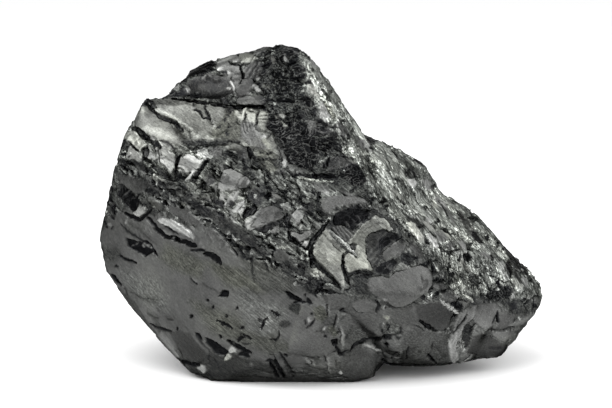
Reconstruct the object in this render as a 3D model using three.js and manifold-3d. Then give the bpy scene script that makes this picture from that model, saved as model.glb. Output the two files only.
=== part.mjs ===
// A hand-sized lump of anthracite, broken from the seam: one solid stone with a big flat face
// at the lower left, stepped beds above it, a steep grained face on the right and bowl-shaped
// shell fractures where chips flew off. It rests on a small flat spot.
//
// Millimetres, +Z up. X runs to the right across the front, Y runs away from the front.
// The origin is the centre of the lump's box, on the surface that it rests on.
import * as THREE from "three";
import { ConvexGeometry } from "three/addons/geometries/ConvexGeometry.js";
import { mergeVertices } from "three/addons/utils/BufferGeometryUtils.js";
import Module from "manifold-3d";

// The lump's box. Every corner below stays inside it, and the extreme corners touch it.
const HALF_WIDTH = 54.5;
const HALF_DEPTH = 37;
const HEIGHT = 78;

// Corners that the blocks share, along the ridge between the front and the grained face.
const RIDGE_MIDDLE = [5, -19, 52];
const RIDGE_LOW = [14.5, -26, 40.5];
const RIDGE_FOOT = [27.5, -31, 21];
const FRONT_KNEE = [14, -34, 22];
const BELLY_CORNER = [1.5, -HALF_DEPTH, 24];

// The main block: the big lower left face, the beds above it, the peak and the resting spot.
const MAIN_BLOCK = [
  // crest and left rim, seen from the front
  [-8.5, 6, HEIGHT],
  [-4.5, 4, 76.5],
  [-15, 10, 77],
  [-27.5, 12, 73.5],
  [-35, 10, 68.5],
  [-43.5, -2, 65.5],
  [-49.5, -5, 52.5],
  [-53, -4, 39.5],
  [-HALF_WIDTH, -5, 29.5],
  [-53, -6, 23],
  // undercut at the lower left
  [-47, -10, 15.3],
  [-39.8, -12.5, 7.9],
  [-35.6, -16, 4.8],
  [-31.8, -20.5, 1.2],
  // front ridges and belly
  [-37, -19, 47.5],
  [-16.5, -31, 36.5],
  BELLY_CORNER,
  [-5, -36, 11],
  [-28.5, -28, 15.5],
  [-11, -9, 63],
  [-7.5, -22, 50],
  [-3.5, -6, 67],
  RIDGE_MIDDLE,
  RIDGE_LOW,
  // top edge of the grained face
  [0, 12, 70.5],
  [7.5, 20, 59.5],
  [12, 24, 52],
  // resting spot
  [-26, -25, 0],
  [8, -26, 0],
  [12.3, -25.5, 1.2],
  [14, -12, 0],
  [15, 10, 0],
  [2, 22, 0],
  [-18, 20, 0],
  [-30, 4, 0],
  [-31, -14, 0],
  // back
  [-51, 12, 32],
  [-44, 22, 52],
  [-40, 28, 26],
  [-33, 24, 6],
  [-8, HALF_DEPTH, 24],
  [-12, 33, 50],
  [-14, 22, 66],
  [14, 36, 32],
  [14, 30, 8],
  [-10, 34, 8],
];

// The shelf behind the grained face, half way down the right side.
const SHELF_BLOCK = [
  [11.5, 24, 54],
  [20, 26, 49],
  [27, 26, 46],
  [31.5, 26, 38.5],
  RIDGE_MIDDLE,
  RIDGE_LOW,
  RIDGE_FOOT,
  [24, 34, 34],
  [30, 30, 24],
  [8, 36, 30],
  [0, 10, 20],
  [28, -10, 8],
  // back, closed against the main block
  [4, 26.5, 50],
  [14.5, 31, 8],
  [25, 31.5, 9],
];

// The wing that runs out to the tip on the right, with a raised underside.
const WING_BLOCK = [
  RIDGE_LOW,
  FRONT_KNEE,
  RIDGE_FOOT,
  BELLY_CORNER,
  [31.5, 26, 38],
  [38, 24, 35],
  [47, 16, 25.5],
  [HALF_WIDTH, -2, 19],
  [54.2, -8, 16],
  [52.2, -9, 13],
  [48, -12.5, 9.6],
  [43.5, -14, 3.5],
  [41.5, -20.5, 10.5],
  [35, -18, 3.3],
  [30, -20.5, 2.6],
  [16, -23, 3],
  [16.5, -31, 9],
  [24, 33, 30],
  [46, 16, 14],
  [36, 24, 8],
  [18, 28, 5],
  [4, 20, 3],
];

// Steps between beds: below each straight ledge a thin wedge of stone is missing. Its floor
// starts at a depth below the face for each end of the ledge, and rises to the face at the foot.
const STEPS = [
  // the long ledge under the crest, above the pale ribbed face
  {
    ledge: [[-44.5, -1.4, 65.3], [-11.5, -8.8, 62.8]],
    foot: [[-38.5, -18.5, 48.5], [-14, -17, 52.5]],
    facing: [-0.1, -0.72, 0.69],
    depths: [1.6, 0.9],
  },
  // the pale steps above the dark laminated band
  {
    ledge: [[-47.5, -7.5, 56.4], [-14, -25.5, 44]],
    foot: [[-43.5, -12.4, 50.2], [-17.5, -30.4, 37.2]],
    facing: [-0.2, -0.75, 0.63],
    depths: [1.5, 0.8],
  },
  // a bed that ends part of the way down the back
  {
    ledge: [[-45, 20.6, 53.5], [6, 32.5, 44]],
    foot: [[-41.5, 27, 33], [0, 36.3, 27]],
    facing: [-0.22, 0.95, 0.2],
    depths: [1.6, 1.4],
  },
];

// The gap on the skyline where a corner is missing between the left shoulder and the crest. Its
// floor and its sides run back and down.
const SHOULDER_GAP = [
  [-48, -16, 68.1],
  [-39, -16, 68.1],
  [-33, -16, 73.6],
  [-48, -16, 80],
  [-33, -16, 80],
  [-48, 30, 58.4],
  [-39, 30, 58.4],
  [-33, 30, 63.9],
  [-48, 30, 80],
  [-33, 30, 80],
];

// Shell fractures: shallow bowls, with the middle of the mouth, the way that it faces, its
// width and height across the mouth and its depth below the face that it was knocked from.
const SCARS = [
  // the bright eye-shaped shell low on the ridge
  { middle: [7.4, -31.2, 33.2], facing: [0.1, -0.86, 0.5], width: 17, height: 16, depth: 2.2 },
  // the smaller dark shell on its right
  { middle: [14.6, -28.9, 34], facing: [0.25, -0.9, 0.36], width: 8.5, height: 9, depth: 1.2 },
  // the dark smooth bowl under the crest
  { middle: [-26.7, -1.8, 67.8], facing: [-0.1, -0.69, 0.71], width: 12, height: 8.5, depth: 1.3 },
  // the hollow on the lower right and the smooth shell beside the tip
  { middle: [32, -25, 10.5], facing: [0.42, -0.83, -0.38], width: 10, height: 14, depth: 1.5 },
  { middle: [40.5, -18.7, 9], facing: [0.5, -0.78, -0.38], width: 8, height: 7, depth: 1 },
  // the back
  { middle: [-24, 32, 26], facing: [-0.32, 0.94, 0.05], width: 23, height: 20, depth: 2 },
  { middle: [-20, 24.3, 60], facing: [-0.25, 0.81, 0.53], width: 17, height: 12, depth: 1.5 },
  { middle: [17, 34.6, 26], facing: [0.19, 0.95, -0.2], width: 14, height: 18, depth: 1.5 },
  { middle: [35, 25.4, 20], facing: [0.55, 0.83, -0.04], width: 15, height: 10, depth: 1.3 },
  // the left side and the right end
  { middle: [-50.5, 6, 40], facing: [-0.95, 0.22, 0.22], width: 14, height: 18, depth: 1.4 },
  { middle: [48.8, 6, 14], facing: [0.78, 0.22, -0.59], width: 12, height: 9, depth: 1.2 },
];

const MOUTH_OVERRUN = 1.3;
const BOWL_STEPS = 5;
const BOWL_SIDES = 20;
const CLEARANCE = 5;
const FOOT_RISE = 0.8;
const SAME_POINT = 1e-4;

const wasm = await Module();
wasm.setup();

// A closed geometry as a solid: its shared corners are merged by place alone.
function solidFrom(geometry) {
  const bare = geometry.clone();
  bare.deleteAttribute("normal");
  bare.deleteAttribute("uv");
  const merged = mergeVertices(bare, SAME_POINT);
  return new wasm.Manifold(
    new wasm.Mesh({
      numProp: 3,
      vertProperties: new Float32Array(merged.attributes.position.array),
      triVerts: new Uint32Array(merged.index.array),
    }),
  );
}

// The solid as a geometry again.
function geometryFrom(solid) {
  const mesh = solid.getMesh();
  return new THREE.BufferGeometry()
    .setAttribute("position", new THREE.BufferAttribute(mesh.vertProperties, 3))
    .setIndex(new THREE.BufferAttribute(mesh.triVerts, 1));
}

// One convex block between fracture faces, from its corners.
function block(corners) {
  return solidFrom(new ConvexGeometry(corners.map((c) => new THREE.Vector3(...c))));
}

// The wedge of stone that is missing below a ledge.
function stepCutter({ ledge, foot, facing, depths }) {
  const out = new THREE.Vector3(...facing).normalize();
  const shifted = (corner, distance) => new THREE.Vector3(...corner).addScaledVector(out, distance);
  const corners = [
    ...ledge.map((c, i) => shifted(c, -depths[i])),
    ...foot.map((c) => shifted(c, FOOT_RISE)),
    ...[...ledge, ...foot].map((c) => shifted(c, CLEARANCE)),
  ];
  return solidFrom(new ConvexGeometry(corners));
}

// The chip that flew off a shell fracture: a spherical cap below, closed flat above the face.
function scarCutter({ middle, facing, width, height, depth }) {
  const mouth = width / 2;
  const radius = (mouth * mouth + depth * depth) / (2 * depth);
  const rim = mouth * MOUTH_OVERRUN;
  const profile = [];
  for (let i = 0; i <= BOWL_STEPS; i++) {
    const r = (rim * i) / BOWL_STEPS;
    profile.push(new THREE.Vector2(r, radius - depth - Math.sqrt(radius * radius - r * r)));
  }
  profile.push(new THREE.Vector2(rim, CLEARANCE), new THREE.Vector2(0, CLEARANCE));
  const out = new THREE.Vector3(...facing).normalize();
  const side = new THREE.Vector3(0, 0, 1).cross(out).normalize();
  const pose = new THREE.Matrix4()
    .makeBasis(side, out, side.clone().cross(out))
    .setPosition(...middle)
    .scale(new THREE.Vector3(1, 1, height / width));
  return solidFrom(new THREE.LatheGeometry(profile, BOWL_SIDES).applyMatrix4(pose));
}

let lumpSolid = block(MAIN_BLOCK).add(block(SHELF_BLOCK)).add(block(WING_BLOCK));
lumpSolid = lumpSolid.subtract(block(SHOULDER_GAP));
for (const step of STEPS) lumpSolid = lumpSolid.subtract(stepCutter(step));
for (const scar of SCARS) lumpSolid = lumpSolid.subtract(scarCutter(scar));

const coal = new THREE.MeshStandardMaterial({
  name: "anthracite",
  color: 0x1d1f21,
  roughness: 0.38,
  metalness: 0.35,
});
const lump = new THREE.Mesh(geometryFrom(lumpSolid), coal);
lump.name = "coal_lump";

const part = new THREE.Group();
part.name = "lump_of_coal";
part.add(lump);
export default part;
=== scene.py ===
"""A hand-sized lump of anthracite: its visible surface, its finish and a plain studio round it."""
import enum
import logging
import math
from dataclasses import dataclass

import bmesh
import bpy
import numpy as np
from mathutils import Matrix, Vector
from mathutils.kdtree import KDTree


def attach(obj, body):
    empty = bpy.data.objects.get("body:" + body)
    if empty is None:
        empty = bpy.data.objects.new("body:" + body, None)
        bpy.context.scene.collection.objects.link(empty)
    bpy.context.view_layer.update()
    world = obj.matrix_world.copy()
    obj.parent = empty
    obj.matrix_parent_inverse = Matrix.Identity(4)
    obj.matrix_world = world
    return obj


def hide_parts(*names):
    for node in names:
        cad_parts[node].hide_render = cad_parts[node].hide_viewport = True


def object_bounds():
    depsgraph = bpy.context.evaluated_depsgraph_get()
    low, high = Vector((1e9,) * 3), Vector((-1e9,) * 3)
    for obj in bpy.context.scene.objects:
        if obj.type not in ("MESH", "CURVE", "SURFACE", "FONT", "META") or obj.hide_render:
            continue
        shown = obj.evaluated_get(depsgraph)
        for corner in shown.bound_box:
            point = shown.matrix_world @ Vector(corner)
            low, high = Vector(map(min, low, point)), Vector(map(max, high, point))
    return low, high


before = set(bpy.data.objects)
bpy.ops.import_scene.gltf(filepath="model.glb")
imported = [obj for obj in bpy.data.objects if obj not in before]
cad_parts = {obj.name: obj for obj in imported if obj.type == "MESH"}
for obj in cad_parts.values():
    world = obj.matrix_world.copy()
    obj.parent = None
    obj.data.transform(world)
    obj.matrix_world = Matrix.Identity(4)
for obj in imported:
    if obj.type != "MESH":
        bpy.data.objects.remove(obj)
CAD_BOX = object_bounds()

LOG = logging.getLogger("coal")

Point = tuple[float, float]
Path = str | tuple[Point, ...]
Triple = tuple[float, float, float]
Colour = tuple[float, float, float, float]

MM = 0.001
CAD_NODE = "coal_lump"
BODY = "root"
RIB_HEIGHT = 0.12
RIB_BEND = 1.6
RIB_BEND_LENGTH = 2.5
RIB_GAP_LENGTH = 1.7
HIGHLIGHT_REACH = 1.1
HIGHLIGHT_STRENGTH = 0.9
LIP_HEIGHT = 0.06
THIN_END = 0.35
WOBBLE_LENGTH = 5.0
COARSE_WOBBLE = 1.1
FINE_WOBBLE = 0.7
FINE_WOBBLE_SCALE = 2.7
STEEPEST_SLANT = 0.12
DETAIL_LEVELS = 20
FAR = 1e9


def unit(vector: Triple) -> np.ndarray:
    """The vector at length one."""
    array = np.array(vector, np.float32)
    return array / np.linalg.norm(array)


def blend(low: np.ndarray, high: np.ndarray, share: np.ndarray) -> np.ndarray:
    """Between low, at share 0, and high, at share 1."""
    return low + (high - low) * share


def ramp(values: np.ndarray, start: float, end: float) -> np.ndarray:
    """Rises smoothly from 0 at start to 1 at end."""
    share = np.clip((values - start) / (end - start), 0.0, 1.0)
    return share * share * (3.0 - 2.0 * share)


def turned(x: np.ndarray, y: np.ndarray, degrees: float) -> tuple[np.ndarray, np.ndarray]:
    """Measures places of the picture along a direction, and across it."""
    turn = math.radians(degrees)
    return x * math.cos(turn) + y * math.sin(turn), y * math.cos(turn) - x * math.sin(turn)


@dataclass(frozen=True)
class Viewpoint:
    """Where the lump is looked at from, and the places in the picture that its points fall on.

    The picture is 612 by 408 points. Lengths are in millimetres.
    """

    elevation: float = math.radians(8.0)
    azimuth: float = 0.0
    focal: float = 100.0
    sensor: float = 36.0
    distance: float = 419.0
    target: Triple = (-3.9, 0.0, 38.7)
    width: int = 612
    height: int = 408

    @property
    def across(self) -> np.ndarray:
        """The direction that is to the right in the picture."""
        return np.array((math.cos(self.azimuth), math.sin(self.azimuth), 0.0))

    @property
    def ahead(self) -> np.ndarray:
        """The direction that the camera looks in."""
        level = np.cross((0.0, 0.0, 1.0), self.across)
        return level * math.cos(self.elevation) - np.array((0.0, 0.0, math.sin(self.elevation)))

    @property
    def above(self) -> np.ndarray:
        """The direction that is up in the picture."""
        return np.cross(self.across, self.ahead)

    @property
    def eye(self) -> np.ndarray:
        """The camera's place."""
        return np.array(self.target) - self.ahead * self.distance

    def picture(self, points: np.ndarray) -> tuple[np.ndarray, np.ndarray]:
        """Finds where points fall in the picture.

        Args:
            points: places in millimetres, one a row.

        Returns:
            Their places across and down the picture.
        """
        away = points - self.eye
        scale = self.focal / self.sensor * self.width / (away @ self.ahead)
        across = self.width / 2 + scale * (away @ self.across)
        down = self.height / 2 - scale * (away @ self.above)
        return across, down

    def make_camera(self) -> None:
        """Adds the camera and makes it the scene's."""
        data = bpy.data.cameras.new("studio_camera")
        data.lens = self.focal
        data.sensor_width = self.sensor
        data.clip_start = 0.01
        data.clip_end = 100.0
        camera = bpy.data.objects.new("studio_camera", data)
        bpy.context.scene.collection.objects.link(camera)
        camera.location = Vector(self.eye * MM)
        camera.rotation_mode = "QUATERNION"
        camera.rotation_quaternion = Vector(self.ahead).to_track_quat("-Z", "Y")
        bpy.context.scene.camera = camera


VIEW = Viewpoint()
BACK_VIEW = Viewpoint(math.radians(15.0), math.radians(180.0))
LEFT_VIEW = Viewpoint(math.radians(8.0), math.radians(270.0))
RIGHT_VIEW = Viewpoint(0.0, math.radians(100.0))
LOW_VIEW = Viewpoint(math.radians(-70.0), math.radians(20.0))


class Noise:
    """Repeatable random fields over points in space."""

    PRIMES = np.array((0x8DA6B343, 0xD8163841, 0xCB1AB31F), np.uint32)
    SEED_FACTOR = 0x9E3779B9
    ALL_BITS = 0xFFFFFFFF
    SCRAMBLE = ((15, 0x2C1B3C6D), (12, 0x297A2D39), (15, 1))
    CORNERS = tuple((x, y, z) for x in (0, 1) for y in (0, 1) for z in (0, 1))
    FINER = 2.03
    SHIFT = 17.1
    JITTER = 0.7
    NEXT_DRAW = 101

    @classmethod
    def hashed(cls, cell: np.ndarray, seed: int) -> np.ndarray:
        """Gives each whole-numbered cell a random number of its own.

        Args:
            cell: whole numbers, three a row.
            seed: another seed gives other numbers.

        Returns:
            One number from 0 to 1 a row.
        """
        mixed = cell.astype(np.int32).view(np.uint32) * cls.PRIMES
        number = mixed[:, 0] ^ mixed[:, 1] ^ mixed[:, 2]
        number ^= np.uint32(seed * cls.SEED_FACTOR & cls.ALL_BITS)
        for shift, factor in cls.SCRAMBLE:
            number ^= number >> np.uint32(shift)
            number = number * np.uint32(factor)
        return number.astype(np.float32) * np.float32(2.0**-32)

    @classmethod
    def soft(cls, points: np.ndarray, seed: int, octaves: int = 1) -> np.ndarray:
        """Makes a soft random field, one wave to a unit of length.

        Args:
            points: places in waves, three a row.
            seed: another seed gives another field.
            octaves: how many finer fields are added, each half as strong.

        Returns:
            Numbers that lie round 0, mostly between -0.5 and 0.5.
        """
        total = np.zeros(len(points), np.float32)
        strength = 1.0
        for octave in range(octaves):
            low = np.floor(points)
            share = (points - low).astype(np.float32)
            share = share * share * (3.0 - 2.0 * share)
            for corner in cls.CORNERS:
                step = np.array(corner, np.float32)
                weight = np.prod(np.abs(1.0 - step - share), axis=1)
                total += strength * weight * (cls.hashed(low + step, seed + octave) - 0.5)
            points = points * cls.FINER + cls.SHIFT
            strength *= 0.5
        return total

    @classmethod
    def cells(cls, points: np.ndarray, seed: int) -> "Cells":
        """Parts space into irregular cells, about one to a unit of length.

        Args:
            points: places in cells, three a row.
            seed: another seed gives other cells.

        Returns:
            What each point needs to know of its own cell.
        """
        low = np.floor(points - 0.5)
        nearest = np.full(len(points), FAR, np.float32)
        second = nearest.copy()
        offset = np.zeros((len(points), 3), np.float32)
        owner = np.zeros((len(points), 3), np.float32)
        for corner in cls.CORNERS:
            cell = low + np.array(corner, np.float32)
            jitter = np.stack([cls.hashed(cell, seed + cls.NEXT_DRAW * k) for k in (1, 2, 3)], axis=1)
            away = (points - cell - 0.5 - cls.JITTER * (jitter - 0.5)).astype(np.float32)
            distance = np.sqrt((away * away).sum(axis=1))
            closer = distance < nearest
            second = np.where(closer, nearest, np.minimum(second, distance))
            nearest = np.where(closer, distance, nearest)
            offset[closer] = away[closer]
            owner[closer] = cell[closer]
        return Cells(offset, owner, second - nearest, seed)


@dataclass
class Cells:
    """A point's own cell: its way from the cell's middle, the cell's number and the gap's nearness."""

    offset: np.ndarray
    owner: np.ndarray
    border: np.ndarray
    seed: int

    NEXT_CHANCE = 977
    SLANT_CHANCES = (5, 6, 7)
    LIFT_CHANCE = 8

    def chance(self, which: int = 0) -> np.ndarray:
        """A random number from 0 to 1 for each point's cell."""
        return Noise.hashed(self.owner, self.seed + self.NEXT_CHANCE * (which + 1))

    def facet(self, lift: float = 0.5) -> np.ndarray:
        """Makes each cell a small flat face at a slant of its own.

        Args:
            lift: how much the faces' middles differ in height, against their slants.

        Returns:
            Heights round 0, in cells.
        """
        slant = np.stack([self.chance(k) for k in self.SLANT_CHANCES], axis=1) * 2.0 - 1.0
        return (self.offset * slant).sum(axis=1) + lift * (self.chance(self.LIFT_CHANCE) * 2.0 - 1.0)


class Seed(enum.IntEnum):
    """A seed for each random field, so that no two of them look alike."""

    PLATES = 3
    FLAKES = 4
    BROKEN = 5
    GRIT = 9
    STREAKS = 21
    ACROSS = 31
    DOWN = 47
    RINGS = 57
    RING_GAPS = 58
    CROWD = 61
    RIB_BENDS = 71
    RIB_GAPS = 83
    STROKES = 91


class Grain(enum.Enum):
    """The ways that the stone splits, each as its long, cross and through directions."""

    BEDS = ((0.772, -0.26, -0.579), (0.37, 0.93, 0.06), (0.52, -0.25, 0.81))
    SLOPE = ((0.34, -0.81, -0.47), (0.73, 0.56, -0.44), (0.6, -0.2, 0.78))

    def turned(self, points: np.ndarray, size: Triple) -> np.ndarray:
        """Measures points along the grain.

        Args:
            points: places in millimetres, one a row.
            size: the lengths that count as one along, across and through the grain.

        Returns:
            The places in those lengths.
        """
        axes = np.stack([unit(axis) / length for axis, length in zip(self.value, size)])
        return (points @ axes.T).astype(np.float32)


# Plates, flakes and grit: their lengths along, across and through the grain, in millimetres.
BROKEN_SIZES = (
    ((8.0, 4.2, 3.2), Seed.PLATES),
    ((3.4, 1.7, 1.4), Seed.FLAKES),
    ((1.4, 0.8, 0.7), Seed.GRIT),
)


def shapes(path: Path) -> list[np.ndarray]:
    """Reads the shapes of a mark.

    Args:
        path: the points of one shape, or text such as "180,84 1,-6 6,-7 | 190,85 4,-2", which
            has each shape's first point, the steps from there, and a bar between two shapes.

    Returns:
        Each shape's points, one a row.
    """
    if not isinstance(path, str):
        return [np.array(path, np.float32)]
    steps = (np.array([pair.split(",") for pair in shape.split()], np.float32) for shape in path.split("|"))
    return [shape.cumsum(axis=0) for shape in steps]


def distance_to(across: np.ndarray, down: np.ndarray, corners: np.ndarray) -> tuple[np.ndarray, ...]:
    """Measures how far points of the picture are from a path.

    Args:
        across, down: the points' places in the picture.
        corners: the path's corners, one a row.

    Returns:
        Each point's distance from the path, how far along the path its nearest place is, from
        0 to 1, and the side that it lies on: 1 to the right of the way along, -1 to the left.
    """
    steps = np.hypot(*(corners[1:] - corners[:-1]).T)
    run = np.concatenate([[0.0], np.cumsum(steps)]) / steps.sum()
    best = np.full(len(across), FAR, np.float32)
    along = np.zeros(len(across), np.float32)
    side = np.ones(len(across), np.float32)
    for i, (start, end) in enumerate(zip(corners[:-1], corners[1:])):
        way = end - start
        x, y = across - start[0], down - start[1]
        share = np.clip((x * way[0] + y * way[1]) / (way @ way), 0.0, 1.0)
        gap = np.hypot(x - share * way[0], y - share * way[1])
        closer = gap < best
        best[closer] = gap[closer]
        along[closer] = (run[i] + share * (run[i + 1] - run[i]))[closer]
        side[closer] = np.sign(way[0] * y - way[1] * x)[closer]
    return best, along, side


def depth_inside(across: np.ndarray, down: np.ndarray, outline: np.ndarray) -> np.ndarray:
    """Measures how far inside an outline the points of the picture are.

    Args:
        across, down: the points' places in the picture.
        outline: the outline's corners, one a row.

    Returns:
        Each point's distance from the outline, below 0 outside it.
    """
    closed = np.vstack([outline, outline[:1]])
    gap = distance_to(across, down, closed)[0]
    inside = np.zeros(len(across), bool)
    for (x0, y0), (x1, y1) in zip(closed[:-1], closed[1:]):
        if y0 == y1:
            continue
        crosses = (y0 > down) != (y1 > down)
        inside ^= crosses & (across < (x1 - x0) * (down - y0) / (y1 - y0) + x0)
    return np.where(inside, gap, -gap)


@dataclass
class Surface:
    """The lump's surface while it is worked on: places, and what each of them looks like.

    Heights are in millimetres above the plain fracture faces. Reflectance, with the light and
    shade that the marks paint into it, is kept as its logarithm, so that bright and dark marks add up.
    """

    points: np.ndarray
    normals: np.ndarray
    across: np.ndarray | None = None
    down: np.ndarray | None = None
    facing: np.ndarray | None = None
    height: np.ndarray | None = None
    tone: np.ndarray | None = None
    warmth: np.ndarray | None = None
    roughness: np.ndarray | None = None
    crispness: np.ndarray | None = None
    slope: np.ndarray | None = None
    scratches: np.ndarray | None = None

    def look(self, view: Viewpoint, hidden_gap: float = 3.0, cell: float = 2.5) -> None:
        """Works out where the points fall in one side's picture, and which of them face it.

        Args:
            view: where the stone is looked at from.
            hidden_gap: how far behind another point, in millimetres, a hidden point is.
            cell: the width in points of the picture of the cells that are searched for it.
        """
        self.across, self.down = view.picture(self.points)
        away = view.eye - self.points
        distance = np.linalg.norm(away, axis=1)
        self.facing = (away * self.normals).sum(axis=1) / distance
        columns = np.clip(self.across / cell, 0, view.width).astype(int)
        cells = columns + view.width * np.clip(self.down / cell, 0, view.height).astype(int)
        closest = np.full(cells.max() + 1, FAR)
        np.minimum.at(closest, cells, distance)
        slant = np.clip(self.facing, STEEPEST_SLANT, 1.0)
        self.facing[distance > closest[cells] + hidden_gap / slant] = -1.0
        places = np.stack([self.across, self.down, self.points[:, 1] * 0], axis=1) / WOBBLE_LENGTH
        self.across = self.across + self.wobble(places, Seed.ACROSS)
        self.down = self.down + self.wobble(places, Seed.DOWN)

    def cover(self, near: np.ndarray, share: np.ndarray, **values: object) -> None:
        """Blends new values over the old ones.

        Args:
            near: the points' numbers.
            share: how far each of them takes the new values, from 0 to 1.
            values: the new values, by name.
        """
        for name, value in values.items():
            whole = getattr(self, name)
            whole[near] = blend(whole[near], value, share)

    @staticmethod
    def wobble(places: np.ndarray, seed: int) -> np.ndarray:
        """Makes the edges of marks uneven: a coarse and a fine wave, in points of the picture."""
        coarse = COARSE_WOBBLE * Noise.soft(places, seed, 2)
        return coarse + FINE_WOBBLE * Noise.soft(places * FINE_WOBBLE_SCALE, seed + 2)

    def near(self, corners: np.ndarray, margin: float) -> np.ndarray:
        """Finds the points that face the camera near a path.

        Args:
            corners: the path's corners in the picture.
            margin: how far from them the points may be.

        Returns:
            The points' numbers.
        """
        (left, top), (right, bottom) = corners.min(axis=0) - margin, corners.max(axis=0) + margin
        beside = (self.across > left) & (self.across < right) & (self.down > top) & (self.down < bottom)
        return np.nonzero(beside & (self.facing > 0.0))[0]


@dataclass(frozen=True)
class Zone:
    """A stretch of the surface that broke in one way.

    Chips and grit are the heights in millimetres of the coarse and the fine broken faces.
    Contrast is how much their brightness differs, as a logarithm. Busy is the share of the
    stretch that small flakes crowd, cracks how dark the gaps between plates are, and painted
    glints how strongly single flakes are painted bright, as highlights that they catch. Scratches
    is how bright the hair-thin curling lines are, slope how much the stone splits as on the long
    slope, and softness the width of the zone's edge.
    """

    name: str
    outline: Path
    reflectance: float
    contrast: float
    chips: float
    grit: float
    busy: float = 0.5
    cracks: float = 0.5
    painted_glints: float = 0.5
    scratches: float = 0.3
    slope: float = 0.0
    warmth: float = 0.0
    roughness: float = 0.35
    softness: float = 5.0


class Feature:
    """Anything that changes the surface in its own place."""

    def carve(self, surface: Surface) -> None:
        """Puts the feature on the surface."""
        raise NotImplementedError


class Mark(Feature):
    """A feature that is put on the surface one shape at a time. Each kind has a path and a cut."""

    path: Path

    def carve(self, surface: Surface) -> None:
        """Puts every shape of the mark on the surface."""
        for shape in shapes(self.path):
            self.cut(surface, shape)

    def cut(self, surface: Surface, shape: np.ndarray) -> None:
        """Puts one shape on the surface."""
        raise NotImplementedError


@dataclass(frozen=True)
class Patch(Mark):
    """One fracture face of its own: a flat or tilted plate inside an outline of the picture.

    Lift and the rise to the right are in millimetres, the rise over ten points of the picture.
    Calm is how much of the breaks below it is evened out, and edge the softness of its outline.
    Painted shading is how much brighter one side is painted than the other, as where light falls across the
    face, and the direction of the bright side.
    Ribs is how strongly fine ribs stand out, the direction that they run in and their gap. Both
    strengths are logarithms. Directions are in degrees, from 0 to the right to 90 downwards.
    """

    path: Path
    reflectance: float
    lift: float = 0.1
    rise_right: float = 0.0
    calm: float = 0.85
    warmth: float = 0.0
    roughness: float = 0.3
    edge: float = 0.8
    painted_shading: tuple[float, float] = (0.0, 0.0)
    ribs: Triple = (0.0, 0.0, 3.0)

    def cut(self, surface: Surface, outline: np.ndarray) -> None:
        """Puts one plate on the surface.

        Args:
            surface: what is worked on.
            outline: the plate's corners in the picture.
        """
        near = surface.near(outline, self.edge)
        if not len(near):
            return
        across, down = surface.across[near], surface.down[near]
        share = ramp(depth_inside(across, down, outline), -self.edge, self.edge)
        middle = outline.mean(axis=0)
        x, y = across - middle[0], down - middle[1]
        plate = self.lift + self.rise_right * x / 10 + (1 - self.calm) * surface.height[near]
        base = surface.tone[near]
        mean = np.average(base, weights=share + 1e-6)
        tone = math.log(self.reflectance) + (1 - self.calm) * (base - mean)
        # Painted shading: one side of the plate is painted brighter than the other.
        reach = turned(x, y, self.painted_shading[1])[0]
        half = np.abs(reach[share > 0.5]).max(initial=0.0) + 1
        tone = tone + self.painted_shading[0] * np.clip(reach / half, -1, 1) / 2
        if self.ribs[0]:
            ridges = self.ridges(x, y, surface.points[near])
            tone = tone + self.ribs[0] * ridges
            plate = plate + RIB_HEIGHT * self.ribs[0] * ridges
        surface.cover(near, share, height=plate, tone=tone, warmth=self.warmth, roughness=self.roughness,
                      crispness=1 - self.calm)

    def ridges(self, x: np.ndarray, y: np.ndarray, points: np.ndarray) -> np.ndarray:
        """Draws the ribs: uneven waves across the way that they run.

        Args:
            x, y: places in the picture, from the plate's middle.
            points: the same places in millimetres.

        Returns:
            How far each place stands out, from -1 to 1.
        """
        bend = RIB_BEND * Noise.soft(points / RIB_BEND_LENGTH, Seed.RIB_BENDS)
        wave = np.sin((turned(x, y, self.ribs[1])[1] + bend) / self.ribs[2] * 2 * math.pi)
        return wave * (0.75 + 1.2 * Noise.soft(points / RIB_GAP_LENGTH, Seed.RIB_GAPS))


@dataclass(frozen=True)
class Stroke(Mark):
    """A crack, a gash, or a painted highlight, a bright lip or a soft glow, along a path of the picture.

    Width and soft are in points of the picture, and the width thins out at both ends. Lift is
    in millimetres, below 0 for a groove. Lip highlight is the reflectance of the painted highlight,
    a bright edge with a slight rise, beside it: on the right of the way along for a highlight side of 1 and
    on the left for -1.
    """

    path: Path
    width: float
    reflectance: float
    lift: float = 0.1
    soft: float = 0.6
    strength: float = 0.95
    warmth: float | None = None
    lip_highlight: float = 0.0
    highlight_side: int = 1

    def cut(self, surface: Surface, path: np.ndarray) -> None:
        """Cuts or raises one stroke.

        Args:
            surface: what is worked on.
            path: the stroke's corners in the picture.
        """
        near = surface.near(path, self.width + self.soft + 2.0)
        gap, along, side = distance_to(surface.across[near], surface.down[near], path)
        taper = blend(THIN_END, 1.0, np.sqrt(np.clip(4 * along * (1 - along), 0, 1)))
        uneven = 1.0 + 0.5 * Noise.soft(surface.points[near] / 1.2, Seed.STROKES)
        half = self.width / 2 * taper * uneven
        # Painted highlight: a bright edge beside the stroke, on one side only, with a slight rise.
        if self.lip_highlight:
            beside = gap - half - HIGHLIGHT_REACH
            share = ramp(HIGHLIGHT_REACH - np.abs(beside), -0.4, 0.5) * (side * self.highlight_side > 0) * taper
            surface.cover(near, share * HIGHLIGHT_STRENGTH, tone=math.log(self.lip_highlight))
            surface.height[near] += share * LIP_HEIGHT
        share = ramp(half - gap, -self.soft, self.soft)
        surface.height[near] += share * self.lift
        surface.cover(near, share * self.strength, tone=math.log(self.reflectance))
        if self.warmth is not None:
            surface.cover(near, share, warmth=self.warmth)


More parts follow.
